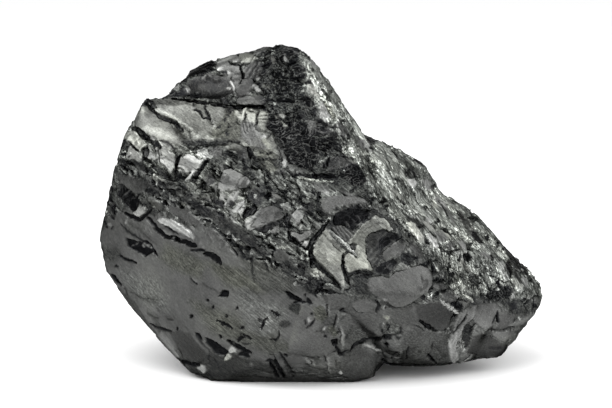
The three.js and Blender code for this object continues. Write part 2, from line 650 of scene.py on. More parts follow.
@dataclass(frozen=True)
class Flecks(Feature):
    """Small spots of one size, each with an outline of its own: painted glints where they are bright, black
    spots where they are dark.

    Places and radius are in points of the picture.
    """

    places: Path
    radius: float
    reflectance: float
    lift: float = 0.1
    warmth: float = 0.0

    FIRST_TURN = 40.0
    NEXT_TURN = 67.0
    STRETCH = (0.8, 1.25)

    def carve(self, surface: Surface) -> None:
        """Puts the spots on the surface, each turned its own way.

        Args:
            surface: what is worked on.
        """
        tone = math.log(self.reflectance)
        for number, place in enumerate(shapes(self.places)[0]):
            near = surface.near(place[None], self.radius * 2 + 1)
            x, y = surface.across[near] - place[0], surface.down[near] - place[1]
            u, v = turned(x, y, self.FIRST_TURN + self.NEXT_TURN * number)
            share = ramp(self.radius - np.hypot(u * self.STRETCH[0], v * self.STRETCH[1]), -0.7, 0.7)
            surface.height[near] += share * self.lift
            surface.cover(near, share, tone=tone, warmth=self.warmth)


@dataclass(frozen=True)
class PaintedLight(Mark):
    """Painted light and shade: a stretch that is painted darker or brighter as a whole, with a soft edge."""

    path: Path
    factor: float
    softness: float = 6.0

    def cut(self, surface: Surface, outline: np.ndarray) -> None:
        """Paints light or shade inside one outline.

        Args:
            surface: what is worked on.
            outline: the stretch's corners in the picture.
        """
        near = surface.near(outline, self.softness)
        depth = depth_inside(surface.across[near], surface.down[near], outline)
        surface.tone[near] += math.log(self.factor) * ramp(depth, -self.softness, self.softness)


@dataclass(frozen=True)
class Shell(Feature):
    """A shell fracture: a shallow oval bowl with rings round the place that it was struck from.

    Middle, radii and struck are in points of the picture, turn in degrees, depth and ring
    heights in millimetres.
    """

    middle: Point
    radii: Point
    turn: float
    depth: float
    struck: Point
    ring_gap: float
    ring_height: float
    reflectance: float
    ring_contrast: float = 0.25
    warmth: float = 0.0
    roughness: float = 0.2

    def carve(self, surface: Surface) -> None:
        """Presses the bowl into the surface, with its rings, and a painted highlight round its rim with
        painted shade in places.

        Args:
            surface: what is worked on.
        """
        near = surface.near(np.array([self.middle]), max(self.radii) * 1.1)
        x = surface.across[near] - self.middle[0]
        y = surface.down[near] - self.middle[1]
        u, v = turned(x, y, self.turn)
        reach = np.hypot(u / self.radii[0], v / self.radii[1])
        share = ramp(1.0 - reach, -0.04, 0.04)
        away = np.hypot(surface.across[near] - self.struck[0], surface.down[near] - self.struck[1])
        drift = Noise.soft(surface.points[near] / 4.5, Seed.RINGS, 2)
        rings = np.sin((away / self.ring_gap + 1.2 * drift) * 2 * math.pi)
        rings *= np.clip(0.75 + 1.8 * Noise.soft(surface.points[near] / 6.0, Seed.RING_GAPS), 0.0, 1.0)
        bowl = -self.depth * (1.0 - reach**2) + self.ring_height * rings
        # Painted highlight round the rim, darker in places as painted shade.
        rim = ramp(0.1 - np.abs(0.98 - reach), 0.0, 0.08) * (0.3 + 1.4 * drift)
        tone = math.log(self.reflectance) + self.ring_contrast * rings + 0.4 * drift + rim
        surface.cover(near, share, height=bowl, tone=tone, warmth=self.warmth, roughness=self.roughness,
                      crispness=0.0)


ZONES = (
    Zone("lower_face", "98,232 14,-20 23,-7 65,23 130,72 -30,72 -100,0 -35,-27 -55,-55", 0.09, 0.08, 0.06,
         0.02, busy=0.1, cracks=0.06, painted_glints=0.05, scratches=0.04, roughness=0.4),
    Zone("lower_middle", "330,298 22,-6 48,16 40,-8 22,10 -10,20 -4,36 -68,14 -80,0 0,-8", 0.066, 0.2, 0.12,
         0.05, busy=0.2, cracks=0.25, painted_glints=0.1, scratches=0.1),
    # Painted shade: the band at the foot faces down and is painted darker.
    Zone("foot_band", "178,350 52,4 70,14 45,-2 35,-14 15,14 -15,24 -180,0", 0.034, 0.25, 0.2, 0.06,
         cracks=0.3, painted_glints=0.1, scratches=0.1),
    Zone("left_rim", "112,150 23,10 65,45 -30,10 -35,-9 -23,6 -14,20 -3,-17", 0.05, 0.6, 0.35, 0.1),
    Zone("laminated_band", "150,165 90,55 22,20 38,22 30,23 0,15 -98,-50 -32,-21 -35,-13 -25,-26", 0.045,
         0.45, 0.2, 0.12),
    Zone("pale_steps", "118,138 22,-12 25,14 70,20 27,25 0,30 -17,10 -55,-35 -70,-32", 0.13, 0.9, 0.45, 0.2,
         warmth=0.2),
    Zone("ribbed_face", "135,112 13,-14 122,10 5,27 9,25 -22,0 -57,-18 -45,6 -27,-18", 0.16, 0.35, 0.2, 0.08,
         warmth=0.35),
    Zone("under_crest", "140,96 25,-8 45,-33 55,-13 3,28 -6,38 -72,-8 -40,-1", 0.06, 0.8, 0.35, 0.15,
         warmth=0.1),
    Zone("dark_crown", "262,40 28,-2 14,14 8,26 -4,22 12,25 48,67 -23,3 -45,-23 -15,-12 -23,-53", 0.018, 0.8,
         0.35, 0.15, scratches=0.7),
    Zone("broken_middle", "235,160 50,2 35,20 45,8 20,24 -40,0 -20,14 -13,22 18,42 -30,-30 -38,-22 -17,-15 "
         "17,-13 -4,-27", 0.055, 0.8, 0.4, 0.2),
    Zone("round_the_eye", "312,228 18,-23 55,0 47,57 8,38 -40,8 -60,-12 -22,-34", 0.08, 0.5, 0.25, 0.12,
         scratches=0.15),
    Zone("grained_slope", "296,36 54,72 34,24 46,23 20,37 30,23 75,75 -7,12 -48,-4 -60,0 -10,-38 -46,-48 "
         "-64,-87 -14,-30", 0.15, 0.75, 0.3, 0.2, slope=1.0, warmth=0.1, scratches=0.3),
    Zone("under_tip", "440,300 115,-2 -50,67 -65,7 -45,-6 -15,-14 60,-17", 0.075, 0.3, 0.2, 0.08, busy=0.2,
         cracks=0.3, painted_glints=0.1, scratches=0.1),
)

# Where no zone reaches: each value on smooth stone, and on stone that is broken up.
ELSEWHERE = {
    "reflectance": (math.log(0.09), math.log(0.055)), "contrast": (0.12, 0.75), "chips": (0.1, 0.4),
    "grit": (0.03, 0.18), "busy": (0.3, 0.6), "cracks": (0.3, 0.8), "painted_glints": (0.1, 0.6),
    "scratches": (0.1, 0.6), "slope": (0.0, 0.0), "warmth": (0.0, 0.0), "roughness": (0.35, 0.35),
}

# Reflectances of the marks, from deep black cracks to facets that face the light.
PITCH = 0.005
SOOT = 0.013
SLATE = 0.03
LEAD = 0.056
STEEL = 0.09
SILVER = 0.145
PALE = 0.23
BRIGHT = 0.36
MIRROR = 0.6

# The shoulder at the top left: black rim, dark bowl, and flakes below the skyline with painted highlights.
SHOULDER = (
    Patch("180,84 1,-6 6,-7 23,-14 7,9 -6,2 5,3 -13,5 -8,-1", PITCH, 0.35, calm=0.7),
    Shell((211, 87), (25, 12.5), 0, 0.15, (186, 96), 9, 0.02, SLATE, 0.12, roughness=0.3),
    Stroke("201,84 2,9", 8, STEEL, 0, 3.5, 0.7),
    Stroke("186,83 4,-4 7,-2", 2.6, STEEL, 0),
    Stroke("202,80 4,-5 | 208,74 4,3 | 261,57 18,-6", 2, PALE),
    Patch("180,88 4,-2 3,4 -1,6 -4,1 -3,-4", SOOT, -0.1),
    Patch("172,90 7,-7 0,4 -3,4", PALE),
    Patch("190,94 4,-3 4,2 4,-1 0,6 -11,1", PITCH, -0.2),
    Patch("215,67 4,-6 7,-4 11,-2 3,5 -3,3 -7,-2 -1,5 -5,5 -7,0", PALE, 0.2, ribs=(0.6, -25, 5)),
    Patch("239,53 8,-1 12,6 -5,4 -13,2", PALE, warmth=0.5, painted_shading=(0.7, 200)),
    Patch("228,63 12,3 3,11 -8,14 -13,-19", STEEL, rise_right=0.1, painted_shading=(0.8, -60)),
    Stroke("230,81 5,9", 3.2, MIRROR),
    Stroke("229,61 4,3 8,1 3,-2", 2, PITCH, -0.3),
    Stroke("240,65 3,10 0,6", 2, PITCH, -0.3, lip_highlight=PALE, highlight_side=-1),
    Stroke("218,72 8,0 2,4", 1.6, PITCH, -0.15),
    Shell((245, 88), (12, 7), -58, 0.2, (240, 98), 6, 0.02, LEAD, 0.1),
    Patch("244,67 15,-7 3,6 -2,13 -16,0", LEAD, ribs=(0.8, -58, 4.5)),
    Patch("186,88 2,-2 2,3 -1,4 -2,0 | 252,85 4,-2 7,9 -5,1", BRIGHT),
    Flecks("250,93 4,-7 -25,2 0,-15 29,6", 1.6, BRIGHT),
    Patch("252,54 13,-9 7,1 -16,9", SILVER),
    Patch("235,103 4,-5 23,-2 5,3 0,5 -5,2 -22,0", LEAD, 0.35, ribs=(0.25, -2, 3.5)),
    Stroke("238,98 24,-2 5,3", 1.6, SILVER),
    Stroke("168,98 18,1", 3.2, LEAD),
    Stroke("172,99 64,8 26,0", 3.2, PITCH, -0.5),
    Stroke("206,99 16,0.5 14,-1.5", 1.6, LEAD),
)

# The pale ribbed face below the long ledge, and the bed under its big slanting crack.
RIBBED_FACE = (
    Patch("151,100 14,-2 68,11 -21,22 -15,6 -21,-20 -18,-8", SILVER, calm=0.7, warmth=0.3,
          painted_shading=(0.35, 180)),
    Patch("226,108 10,0 7,10 0,14 -5,9 -28,-4 4,-9 8,-8", STEEL, 0, calm=0.5, warmth=0.8),
    Patch("134,127 7,-19 6,-3 13,13 10,3 7,6 9,14 -6,3 -20,-4", STEEL, warmth=0.3),
    Stroke("140,112 8,-2", 8, PALE, 0, 3.0, 0.75, 0.5),
    Stroke("141,129 18,3 9,5 8,2", 6, BRIGHT, 0, 3.0, 0.8),
    Patch("141,107 6,-11 3,5 -3,5", PITCH),
    Stroke("147,104 13,13 15,5 8,9", 4, PITCH, -0.5),
    Stroke("176,127 10,12", 5, SLATE, -0.2, 1.5, 0.8, 0.5),
    Stroke("159,110 13,6 17,11.5 10,10.5", 3.2, BRIGHT, 0.1, 1.5, 0.85),
    Stroke("170,122 8,14 | 174,122 7,13", 1.2, SLATE, -0.1),
    Stroke("132,128 5,2 10,8 5,2 9,8", 6, PITCH, -0.5),
    Patch("149,137 4,-1 4,3 -4,1", SILVER, -0.2),
    Patch("160,141 7,0 6,4 3,6 -13,-5", STEEL, 0),
    Stroke("192,101 3,9 5,2 3,6 8,1", 2, PITCH, -0.2, lip_highlight=PALE, highlight_side=1),
    Stroke("205,103 0,5 8,17", 2, PITCH, -0.2, lip_highlight=PALE, highlight_side=-1),
    Flecks("213,122 2,5 -21,-19", 1.6, BRIGHT),
    Patch("226,109 5,-3 3,4 -3,4 -4,-1", SOOT, -0.2, calm=0.5),
    Flecks("228,116 -3,4 4,8 -2,6 -8,-7", 1.6, SOOT),
    Patch("235,109 4,2 4,13 -7,-8", BRIGHT, warmth=0.5),
    Patch("243,108 4,-2 0,6 -5,10 -1,-6", MIRROR, warmth=0.5),
    Patch("248,108 5,0 5,3 -3,13 -6,-3 -3,-5", BRIGHT, warmth=0.5, painted_shading=(0.6, 110)),
    Patch("258,112 5,-2 6,2 -3,15 -4,4 -4,-5", PALE, warmth=0.5, ribs=(0.8, 0, 3.6)),
    Stroke("159,141 7,0 5,3 4,7 | 246,112 -2,10 | 259,110 -2,6 1,4 -2,6", 1.6, PITCH, -0.15),
    Patch("241,123 9,-2 8,4 8,24 -4,2 -15,-7 -6,-8", SILVER, 0, ribs=(0.5, 72, 3)),
    Stroke("253,127 10,13", 2, BRIGHT),
    Patch("261,136 3,-3 3,3 -2,3 -3,0", MIRROR),
    Patch("261,140 5,-2 6,8 -1,4 -4,-1", BRIGHT, warmth=0.8),
    Patch("269,139 3,-9 4,16 -3,2", PALE, warmth=0.5),
    Patch("258,151 16,-2 6,19 -8,4 -10,-4 -5,-8", STEEL, 0, calm=0.3, warmth=0.8),
    Stroke("259,152 7,2 7,-2", 1.6, SOOT, -0.15),
    Patch("228,144 8,-1 2,6 -8,1", STEEL, warmth=0.8),
    Stroke("258,158 8,2 10,-1 | 222,143 8,-2 10,1", 2, SOOT, -0.15),
)

# The broken edge below the ribbed face: bright plates, pale lobes and dark gaps between them.
PALE_STEPS = (
    Patch("118,145 4,-6 7,1 2,5 -3,5 -8,0", SLATE, calm=0.5),
    Patch("123,137 7,-6 5,-1 12,14 -3,5 -5,3", PALE, 0.35, warmth=0.5, painted_shading=(0.5, 60)),
    Patch("130,145 5,2 9,12 -6,2 -7,-1 -4,-5", PALE, 0.2, warmth=0.3, painted_shading=(0.5, 200)),
    Stroke("128,141 11,11", 2, PITCH, -0.5),
    Flecks("125,152 2,4 -6,1", 1.6, BRIGHT),
    Flecks("123,154 7,2 -5,-15 3,7", 1.6, PITCH),
    Patch("142,149 4,-2 4,3 -1,6 -5,2", SOOT, -0.5),
    Patch("147,142 11,20 -12,-5 3,-5", STEEL, 0, painted_shading=(0.9, 40)),
    Stroke("147,143 9,15", 1.2, PALE),
    Patch("152,147 5,0 4,3 0,13 -3,-1", STEEL, 0, ribs=(1.0, 78, 3.2)),
    Patch("160,149 4,-3 11,10 2,5 -6,12 -11,-11", PALE, 0.35, painted_shading=(0.6, 230)),
    Stroke("161,150 1,7", 1.6, SOOT, -0.15),
    Patch("178,165 3,-7 7,-4 7,2 5,5 0,6 -4,5 -13,2 -4,-3", PALE, 0.35, painted_shading=(0.5, -60)),
    Stroke("181,155 -3,5 -3,12", 2.6, PITCH, -0.5),
    Flecks("176,172 4,4 3,2", 2.4, PITCH),
    Patch("200,160 6,-3 -3,9 -12,14 -7,2", BRIGHT, 0.35, painted_shading=(0.5, 120)),
    Stroke("208,160 -16,19", 4, PITCH, -0.5),
    Patch("197,150 6,-2 5,2 2,4 5,2 -4,4 -13,-4", BRIGHT, 0.2, calm=0.5),
    Patch("210,149 6,-3 6,4 0,6 -6,2 -5,-4", STEEL),
    Stroke("208,164 -10,15 -1,7 4,7", 3.2, PALE),
    Patch("205,180 4,-6 5,0 3,6 -3,6 -6,2", LEAD, 0.2),
    Stroke("203,180 1,7 5,3", 2.6, PITCH, -0.3),
    Stroke("206,189 6,-2 5,-5", 2, BRIGHT),
    Stroke("160,148 16,4 10,-6 8,2 7,-2", 3.2, STEEL, 0, 1.5, 0.6),
    Stroke("183,141 9,2 8,-1 8,2 10,-2 9,2", 6, SOOT, -0.3, 1.2, 0.85),
    Stroke("144,157 7,7 21,14", 5, SOOT, -0.5),
    Stroke("146,160 9,12", 2.6, PALE),
    Patch("149,177 5,-4 11,8 -6,3", PALE, 0.2, calm=0.5, warmth=0.3),
    Patch("218,186 5,-15 9,-2 18,10 2,3 -6,6 -26,5", PALE, 0.35, calm=0.95, painted_shading=(0.4, 200)),
    Patch("219,194 9,0 -4,8 -6,-2", PALE, 0.2),
    Patch("223,205 9,-12 7,-4 0,8 -12,11", PALE, ribs=(0.5, -52, 4)),
    Patch("231,212 8,-10 6,-2 0,13 -3,4 -5,-4", BRIGHT, 0.2, ribs=(0.4, -48, 3.6)),
    Patch("228,203 3,-2 4,3 -3,3", PITCH, -0.3),
    Patch("243,213 10,-9 4,4 -3,5 -11,7", PITCH, -0.5),
    Stroke("250,216 5,-5", 1.2, MIRROR, 0.2),
    Patch("246,190 10,-2 9,2 -1,10 -6,7 -12,-9", SLATE, 0, calm=0.5),
    Stroke("226,151 14,7", 3.2, PITCH, -0.2),
    Patch("238,146 9,1 2,10 -7,2 -6,-6", LEAD),
    Stroke("248,147 4,9 6,6", 4, PITCH, -0.3),
    Flecks("259,170 3,4 -16,19 -14,4 17,-14 7,0", 1.6, BRIGHT),
)

# The near-black hollow under the peak, whose black facet is a painted dark reflection, the painted highlight
# on its rim and the small things caught in it.
CROWN = (
    Patch("280,47 17,-2 3,7 -8,4 -10,-1", SOOT, 0),
    Patch("270,56 5,-1 1,7 -3,6", STEEL, warmth=0.5),
    Patch("283,57 3,-2 2,4 -2,4 -3,-2", PALE),
    Stroke("283,65 0,10", 1.6, SILVER),
    Stroke("274,65 -13,15", 2, LEAD),
    Stroke("270,97 6,-4 12,-1 0,3 -17,3", 1.6, STEEL),
    Stroke("262,84 12,5 4,4", 2.6, LEAD, warmth=0.4),
    Stroke("280,53 -2,7 1,8 | 272,99 26,2 8,-2", 3.2, PITCH, -0.2),
    Stroke("287,98 15,0", 1.2, SILVER),
    Flecks("273,50 29,41 -27,12 19,19 8,-2 1,8 5,-18 8,-6 -9,32 -14,1", 1.6, BRIGHT),
    # Painted reflection: a black facet that mirrors the dark surroundings in front of the stone.
    Patch("268,119 7,-2 13,10 4,-6 11,-1 10,17 6,4 0,21 -7,5 -9,2 -15,-7 -16,-31 -6,-4", PITCH * 1.25, -0.3,
          calm=0.7),
    Stroke("272,130 16,33", 4, SILVER, 0.2),
    Patch("279,149 4,1 5,13 -5,-3", SILVER, 0.2),
    Patch("281,163 3,-3 3,2 0,4 -4,2", MIRROR, 0.2),
    Stroke("282,148 7,-7", 1.2, SLATE),
    Patch("303,145 5,-3 3,4 -1,6 -6,1", SOOT),
    Patch("277,114 6,-1 4,4 -4,2", BRIGHT, 0.2, warmth=0.3),
    Stroke("281,121 3,4 4,2", 3.2, BRIGHT, 0.2, warmth=0.4),
    Patch("272,114 7,1 2,4 -6,1", LEAD, warmth=0.8),
    Patch("307,120 9,1 0,6 -4,4 -1,6 -3,-6", STEEL),
    Shell((321, 132), (9.5, 4.8), -12, 0.25, (331, 128), 5, 0.02, SLATE, 0.1),
    Stroke("312,137 8,0.5 7,-2.5 4,-4", 1.6, SILVER),
    Stroke("330,129 5,-1.5 4,3.5 1,6", 2, PALE),
    Patch("330,132 5,-2 3,4 -1,8 -7,2 -4,-5", SOOT, -0.1, calm=0.3),
    Patch("317,119 5,-2 2,4 5,3 -3,4 -9,-1", SOOT, -0.2, calm=0.5),
    Patch("331,127 5,-4 1,4 -4,2", SOOT, -0.1),
    Patch("303,98 6,-2 11,14 -2,9 -10,-1 -5,-8", SOOT, 0, calm=0.3),
    Patch("321,165 8,-7 0,6 -3,5 -4,-1", PITCH, -0.3),
    Stroke("321,162 8,-8", 1.6, MIRROR),
    Stroke("312,107 5,-3 2,2 | 319,161 4,3", 1.6, BRIGHT),
    Patch("330,158 5,-2 18,7 -3,4 -21,4 -1,-6", LEAD, 0.2, painted_shading=(0.4, 200)),
    Flecks("332,157 1,-9 12,23", 1.6, BRIGHT),
    Stroke("307,174 12,-3 6,2 13,0", 2, STEEL, 0.2),
    Stroke("292,176 8,-2 10,2 30,0 10,2", 3.2, PITCH, -0.3),
    Stroke("298,178 7,0 15,3.5 14,-0.5", 2.6, BRIGHT, 0.2, warmth=0.5),
    Patch("287,165 6,-1 13,4 -3,4 -7,1 -7,-2", STEEL, calm=0.5),
    Stroke("282,168 14,13", 1.2, PALE),
    Patch("345,168 6,-5 7,2 10,16 -6,4 -7,0 -6,-4 -4,-6", PITCH, 0),
    Patch("322,142 18,0 3,8 -13,3 -10,-1", SOOT, 0, calm=0.3),
    Patch("292,66 10,-1 5,4 -3,3 -8,-1 | 296,73 9,0 2,3 -4,3 -7,-1", PITCH * 1.3, -0.1),
)

# The ridge at the right of the hollow and the long grained slope that runs down to the tip.
SLOPE = (
    Stroke("300,54 13,13 3,7", 8, PALE, 0, 2.5, 0.7),
    Flecks("310,64 4,4 -5,6 3,4", 1.6, BRIGHT),
    Patch("304,81 5,-2 4,1 -2,4 -5,0 | 471,230 5,1 8,13 -5,-1 -6,-6", SOOT, -0.2),
    Patch("307,85 5,-1 4,4 4,11 -12,-8", BRIGHT, 0.2, warmth=0.5),
    Stroke("313,80 17,21 | 374,193 3,4", 2.6, BRIGHT),
    Stroke("321,89 10,12", 3.2, SLATE, -0.2),
    Stroke("329,101 14,20", 3.2, BRIGHT),
    Stroke("325,102 10,16", 4, STEEL, -0.1, warmth=0.8),
    Patch("319,102 5,1 7,15 -6,0 -5,-7 | 421,181 6,-3 5,6 1,7 -7,-1 | 479,254 5,-2 11,6 -7,1", PALE),
    Flecks("303,51 6,7 -12,-8 15,20 -6,-15 36,66 4,-11 3,2 18,45 -36,-65", 2, SOOT),
    Stroke("353,122 18,31 | 369,153 19,24 5,10 | 400,169 14,18", 4, BRIGHT),
    Stroke("349,128 14,24 | 403,159 17,13", 3.2, LEAD, -0.1),
    Stroke("365,155 6,15 6,9", 5, SLATE, -0.2),
    Stroke("365,134 11,4.5", 2, SLATE, -0.15),
    Stroke("392,150 6,7", 2.6, PITCH, -0.3),
    Stroke("384,145 6,5 6,8", 3.2, PALE),
    Patch("410,155 6,0 5,3 3,5 -5,1", PITCH, -0.2),
    Patch("407,179 6,-1 5,5 -4,5 -5,-4", MIRROR),
    Patch("404,168 9,0 5,6 -5,5 -7,-2", SLATE, -0.1, calm=0.3),
    Stroke("386,187 5,10", 2.6, MIRROR),
    Flecks("366,196 5,6 15,4 -2,-6 49,-13 -7,21 12,13", 2.4, SOOT),
    Stroke("405,205 10,13", 2, PALE),
    Patch("406,225 4,-4 5,3 9,12 0,5 -5,1", MIRROR, 0.2, warmth=0.5, painted_shading=(0.3, 200)),
    Patch("422,221 6,1 10,9 -3,2 -10,-7", BRIGHT, warmth=0.3),
    Patch("427,232 9,8 3,6 -4,2 -8,-10", MIRROR, 0.2),
    Patch("434,232 8,-1 6,7 -4,5 -7,-3", SILVER),
    Patch("443,232 5,2 5,5 -5,0", BRIGHT, warmth=0.5),
    Stroke("441,228 6,2 5,5", 3.2, PITCH, -0.2),
    Patch("447,244 5,-3 5,3 -3,4 -6,1 | 433,284 10,-2 6,5 -7,3 -8,-2 | 442,292 10,-1 8,6 -4,5 -9,0 -5,-5",
          STEEL),
    Patch("456,242 6,-1 4,4 0,5 -6,-2", BRIGHT, 0.2),
    Patch("463,254 6,-2 4,5 -4,6 -5,-4", PITCH * 1.3, -0.2),
    Stroke("468,217 9,3", 5, SOOT, -0.1),
    Stroke("413,161 15,11 | 475,222 11,11", 3.2, BRIGHT),
    Stroke("456,211 8,10", 3.2, SLATE, -0.1),
    Flecks("492,257 -46,-27 24,15 17,-7 16,11", 2, SOOT),
    Patch("497,262 5,-2 8,13 -1,7 -5,1", BRIGHT, calm=0.5),
    Patch("511,278 5,1 8,7 -3,6 -6,-4", BRIGHT, calm=0.5, warmth=0.3),
    Patch("499,285 10,0 4,6 -3,7 -21,1 2,-8", PITCH * 1.6, -0.2, calm=0.3),
    Flecks("519,290 3,1 21,2 -10,-8 -4,24 -30,-20 -13,2", 1.6, BRIGHT),
    Flecks("498,284 2,10 24,6 10,5 -36,-24", 1.6, PITCH),
    Patch("433,272 10,-3 4,6 -1,4 -10,0", STEEL, calm=0.5),
    Stroke("431,279 21,2", 2.6, PITCH, -0.2),
    Stroke("449,262 0,10 3,9", 3.2, PITCH, -0.2),
    Stroke("441,250 9,2 9,-3 | 432,262 2,8 -2,12", 3.2, SOOT, -0.2),
    Patch("449,303 9,-1 5,4 -2,6", PITCH, -0.2, calm=0.5),
    Stroke("441,301 8,6", 3.2, MIRROR, 0.2),
    Stroke("447,308 5,1 6,5", 4, MIRROR, 0.2),
    Stroke("462,294 9,5 2,3", 2.6, MIRROR, 0.2, warmth=0.3),
    Stroke("455,295 9,3", 1.6, BRIGHT),
    Flecks("458,291 5,-2 -11,-3 7,-2 -27,10 -3,2", 1.6, MIRROR),
    Flecks("423,297 4,-33 -5,1 15,28 -20,-36", 2.4, PITCH),
)

# The dark left rim and the laminated band that runs down from it to the right.
LEFT_RIM = (
    Patch("118,172 32,12 10,6 -2,6 -12,-4 -10,2 -17,-11", LEAD, painted_shading=(0.4, 90)),
    Stroke("116,161 20,2 8,3 6,6", 5, SOOT, -0.2, 1.2),
    Stroke("120,164 7,8", 2, PITCH, -0.3),
    Patch("121,183 19,18 -4,10 -4,1 -16,-17", PITCH, -0.2),
    Stroke("121,197 9,-7 | 240,226 42,32", 1.6, LEAD),
    Patch("132,214 8,-8 4,0 3,4 -8,8", PALE, 0.2, painted_shading=(1.2, 170)),
    Stroke("124,213 6,4 10,3 10,-10", 4, PITCH, -0.5),
    Patch("141,201 8,2 6,6 -1,8 -7,-3", SOOT, -0.2, calm=0.3),
    Stroke("147,217 9,12 6,5 16,6 | 175,239 21,7", 5, PITCH, -0.5),
    Patch("156,220 7,-3 8,2 19,12 5,6 -1,3", BRIGHT, 0.35, ribs=(0.35, 35, 3.5), painted_shading=(0.5, 200)),
    Patch("161,228 12,6 -3,2 -5,-2", SILVER),
    Stroke("164,225 14,10", 2, PITCH, -0.2),
    Stroke("190,250 15,1", 3.2, PITCH, -0.3),
    Stroke("204,254 6,0 5,3 6,7", 6, PITCH, -0.5),
    Patch("126,238 14,4 7,-1 4,3 3,7 -9,5 -18,-9", PITCH, -0.5),
    Flecks("201,243 2,4 9,5 -32,-14 -8,1 -30,7 5,-1 3,2 -6,-3", 1.6, SILVER),
    Stroke("130,247 8,-5", 1.2, STEEL),
    Stroke("126,168 4,3 3,5 | 150,246 7,10 | 119,255 6,4 11,4", 2.6, PITCH, -0.3),
    Stroke("120,223 7,8 23,14", 2, SOOT, -0.1),
    Patch("121,218 21,9 16,19 -30,-17", LEAD, ribs=(0.4, 40, 4)),
    Patch("141,221 7,-1 5,7 -2,7 -7,-4", STEEL),
    Flecks("106,223 6,5 5,38 -10,-39 8,-14 -2,-6", 1.6, PITCH),
    Flecks("110,224 17,-2 46,-22 -3,-2 21,1 13,17 7,6 -8,0", 1.6, PALE),
    Patch("99,246 20,4 1,8 -8,4 -11,-4", LEAD, 0, calm=0.5, edge=2.0),
    Patch("144,190 6,-2 12,5 -15,2", SOOT, -0.2, calm=0.5),
    Patch("147,199 8,1 7,6 -2,5 -8,-4", LEAD * 0.7, 0, warmth=0.5),
    Stroke("158,181 20,16 12,7", 5, SOOT, -0.2, 1.5, 0.8),
    Stroke("172,182 26,20", 3.2, LEAD, 0.1, 1.0, 0.7),
    Patch("165,205 15,2 10,5 16,15 -6,2 -25,-14", LEAD * 1.1, calm=0.95),
    Patch("189,202 11,2 8,4 6,9 -8,2 -9,-6", SOOT, -0.1, ribs=(0.6, 42, 3.4)),
    Patch("208,212 24,9 30,29 -10,-2 -39,-26", SLATE, calm=0.7, ribs=(0.2, 38, 6)),
    Stroke("222,222 40,32 14,8", 2, SOOT, -0.1),
    Stroke("215,232 13,8 24,20", 1.6, SOOT, -0.1),
    Stroke("241,256 12,5", 2.6, PITCH, -0.2),
)

# The broken middle: the lead-grey trapezoid, bright lozenges and the small plates round them.
MIDDLE = (
    Patch("244,223 18,-16 1,4 -12,12 -5,2", PALE, 0.35),
    Patch("263,208 7,-3 8,2 9,10 -29,12 -7,-2", STEEL, 0.2, calm=0.95, painted_shading=(0.3, -60)),
    Patch("257,230 18,-9 6,1 -15,11", SOOT, -0.2),
    Patch("270,233 4,-6 6,-4 0,6 -5,5", STEEL),
    Stroke("258,232 21,17", 3.2, PALE, 0.2),
    Flecks("263,235 4,5 4,5 4,-1 -5,-44 4,0 9,5", 1.6, BRIGHT),
    Stroke("279,247 10,0", 2.6, PALE, warmth=0.4),
    Patch("289,232 3,-2 8,4 11,-4 1,4 -12,9 -4,-2", SILVER, 0.2, calm=0.95),
    Patch("283,218 4,-5 3,4 -2,12", PITCH, -0.5),
    Stroke("288,230 2,7 18,13", 3.2, PITCH, -0.5),
    Patch("290,215 8,-7 6,9 -7,7 | 301,245 4,-4 5,0 -4,8", PALE, 0.2),
    Patch("281,204 6,-2 4,4 -2,5 -5,-1", PALE, 0.2, calm=0.5),
    Patch("300,207 4,-1 2,5 -4,2", PALE),
    Patch("303,203 9,1 1,10 -8,3 -3,-7", SOOT, -0.1, calm=0.5),
    Flecks("302,258 6,-5 0,5 -12,7 4,-39 27,-33 10,-2 -29,7 -16,-2 -37,0", 1.6, BRIGHT),
    Patch("276,249 10,1 4,10 -6,2 -10,-6", LEAD, calm=0.95),
    Patch("321,206 1,-6 6,-4 28,0 8,3 4,4 -32,3 -8,8 -5,-2", STEEL * 1.15, 0.2, calm=0.95),
    Stroke("320,196 -3,6 2,7 4,6", 4, SOOT, -0.3),
    Stroke("334,207 -1,4 3,2 3,-2", 1.6, SILVER),
    Flecks("336,209", 1.6, PITCH),
    Stroke("300,188 15,-2 47,6", 6, LEAD, 0, 2.5, 0.6),
    Flecks("270,189 48,6 -33,-3 28,1 39,-3 -86,-7", 2.4, PITCH),
)

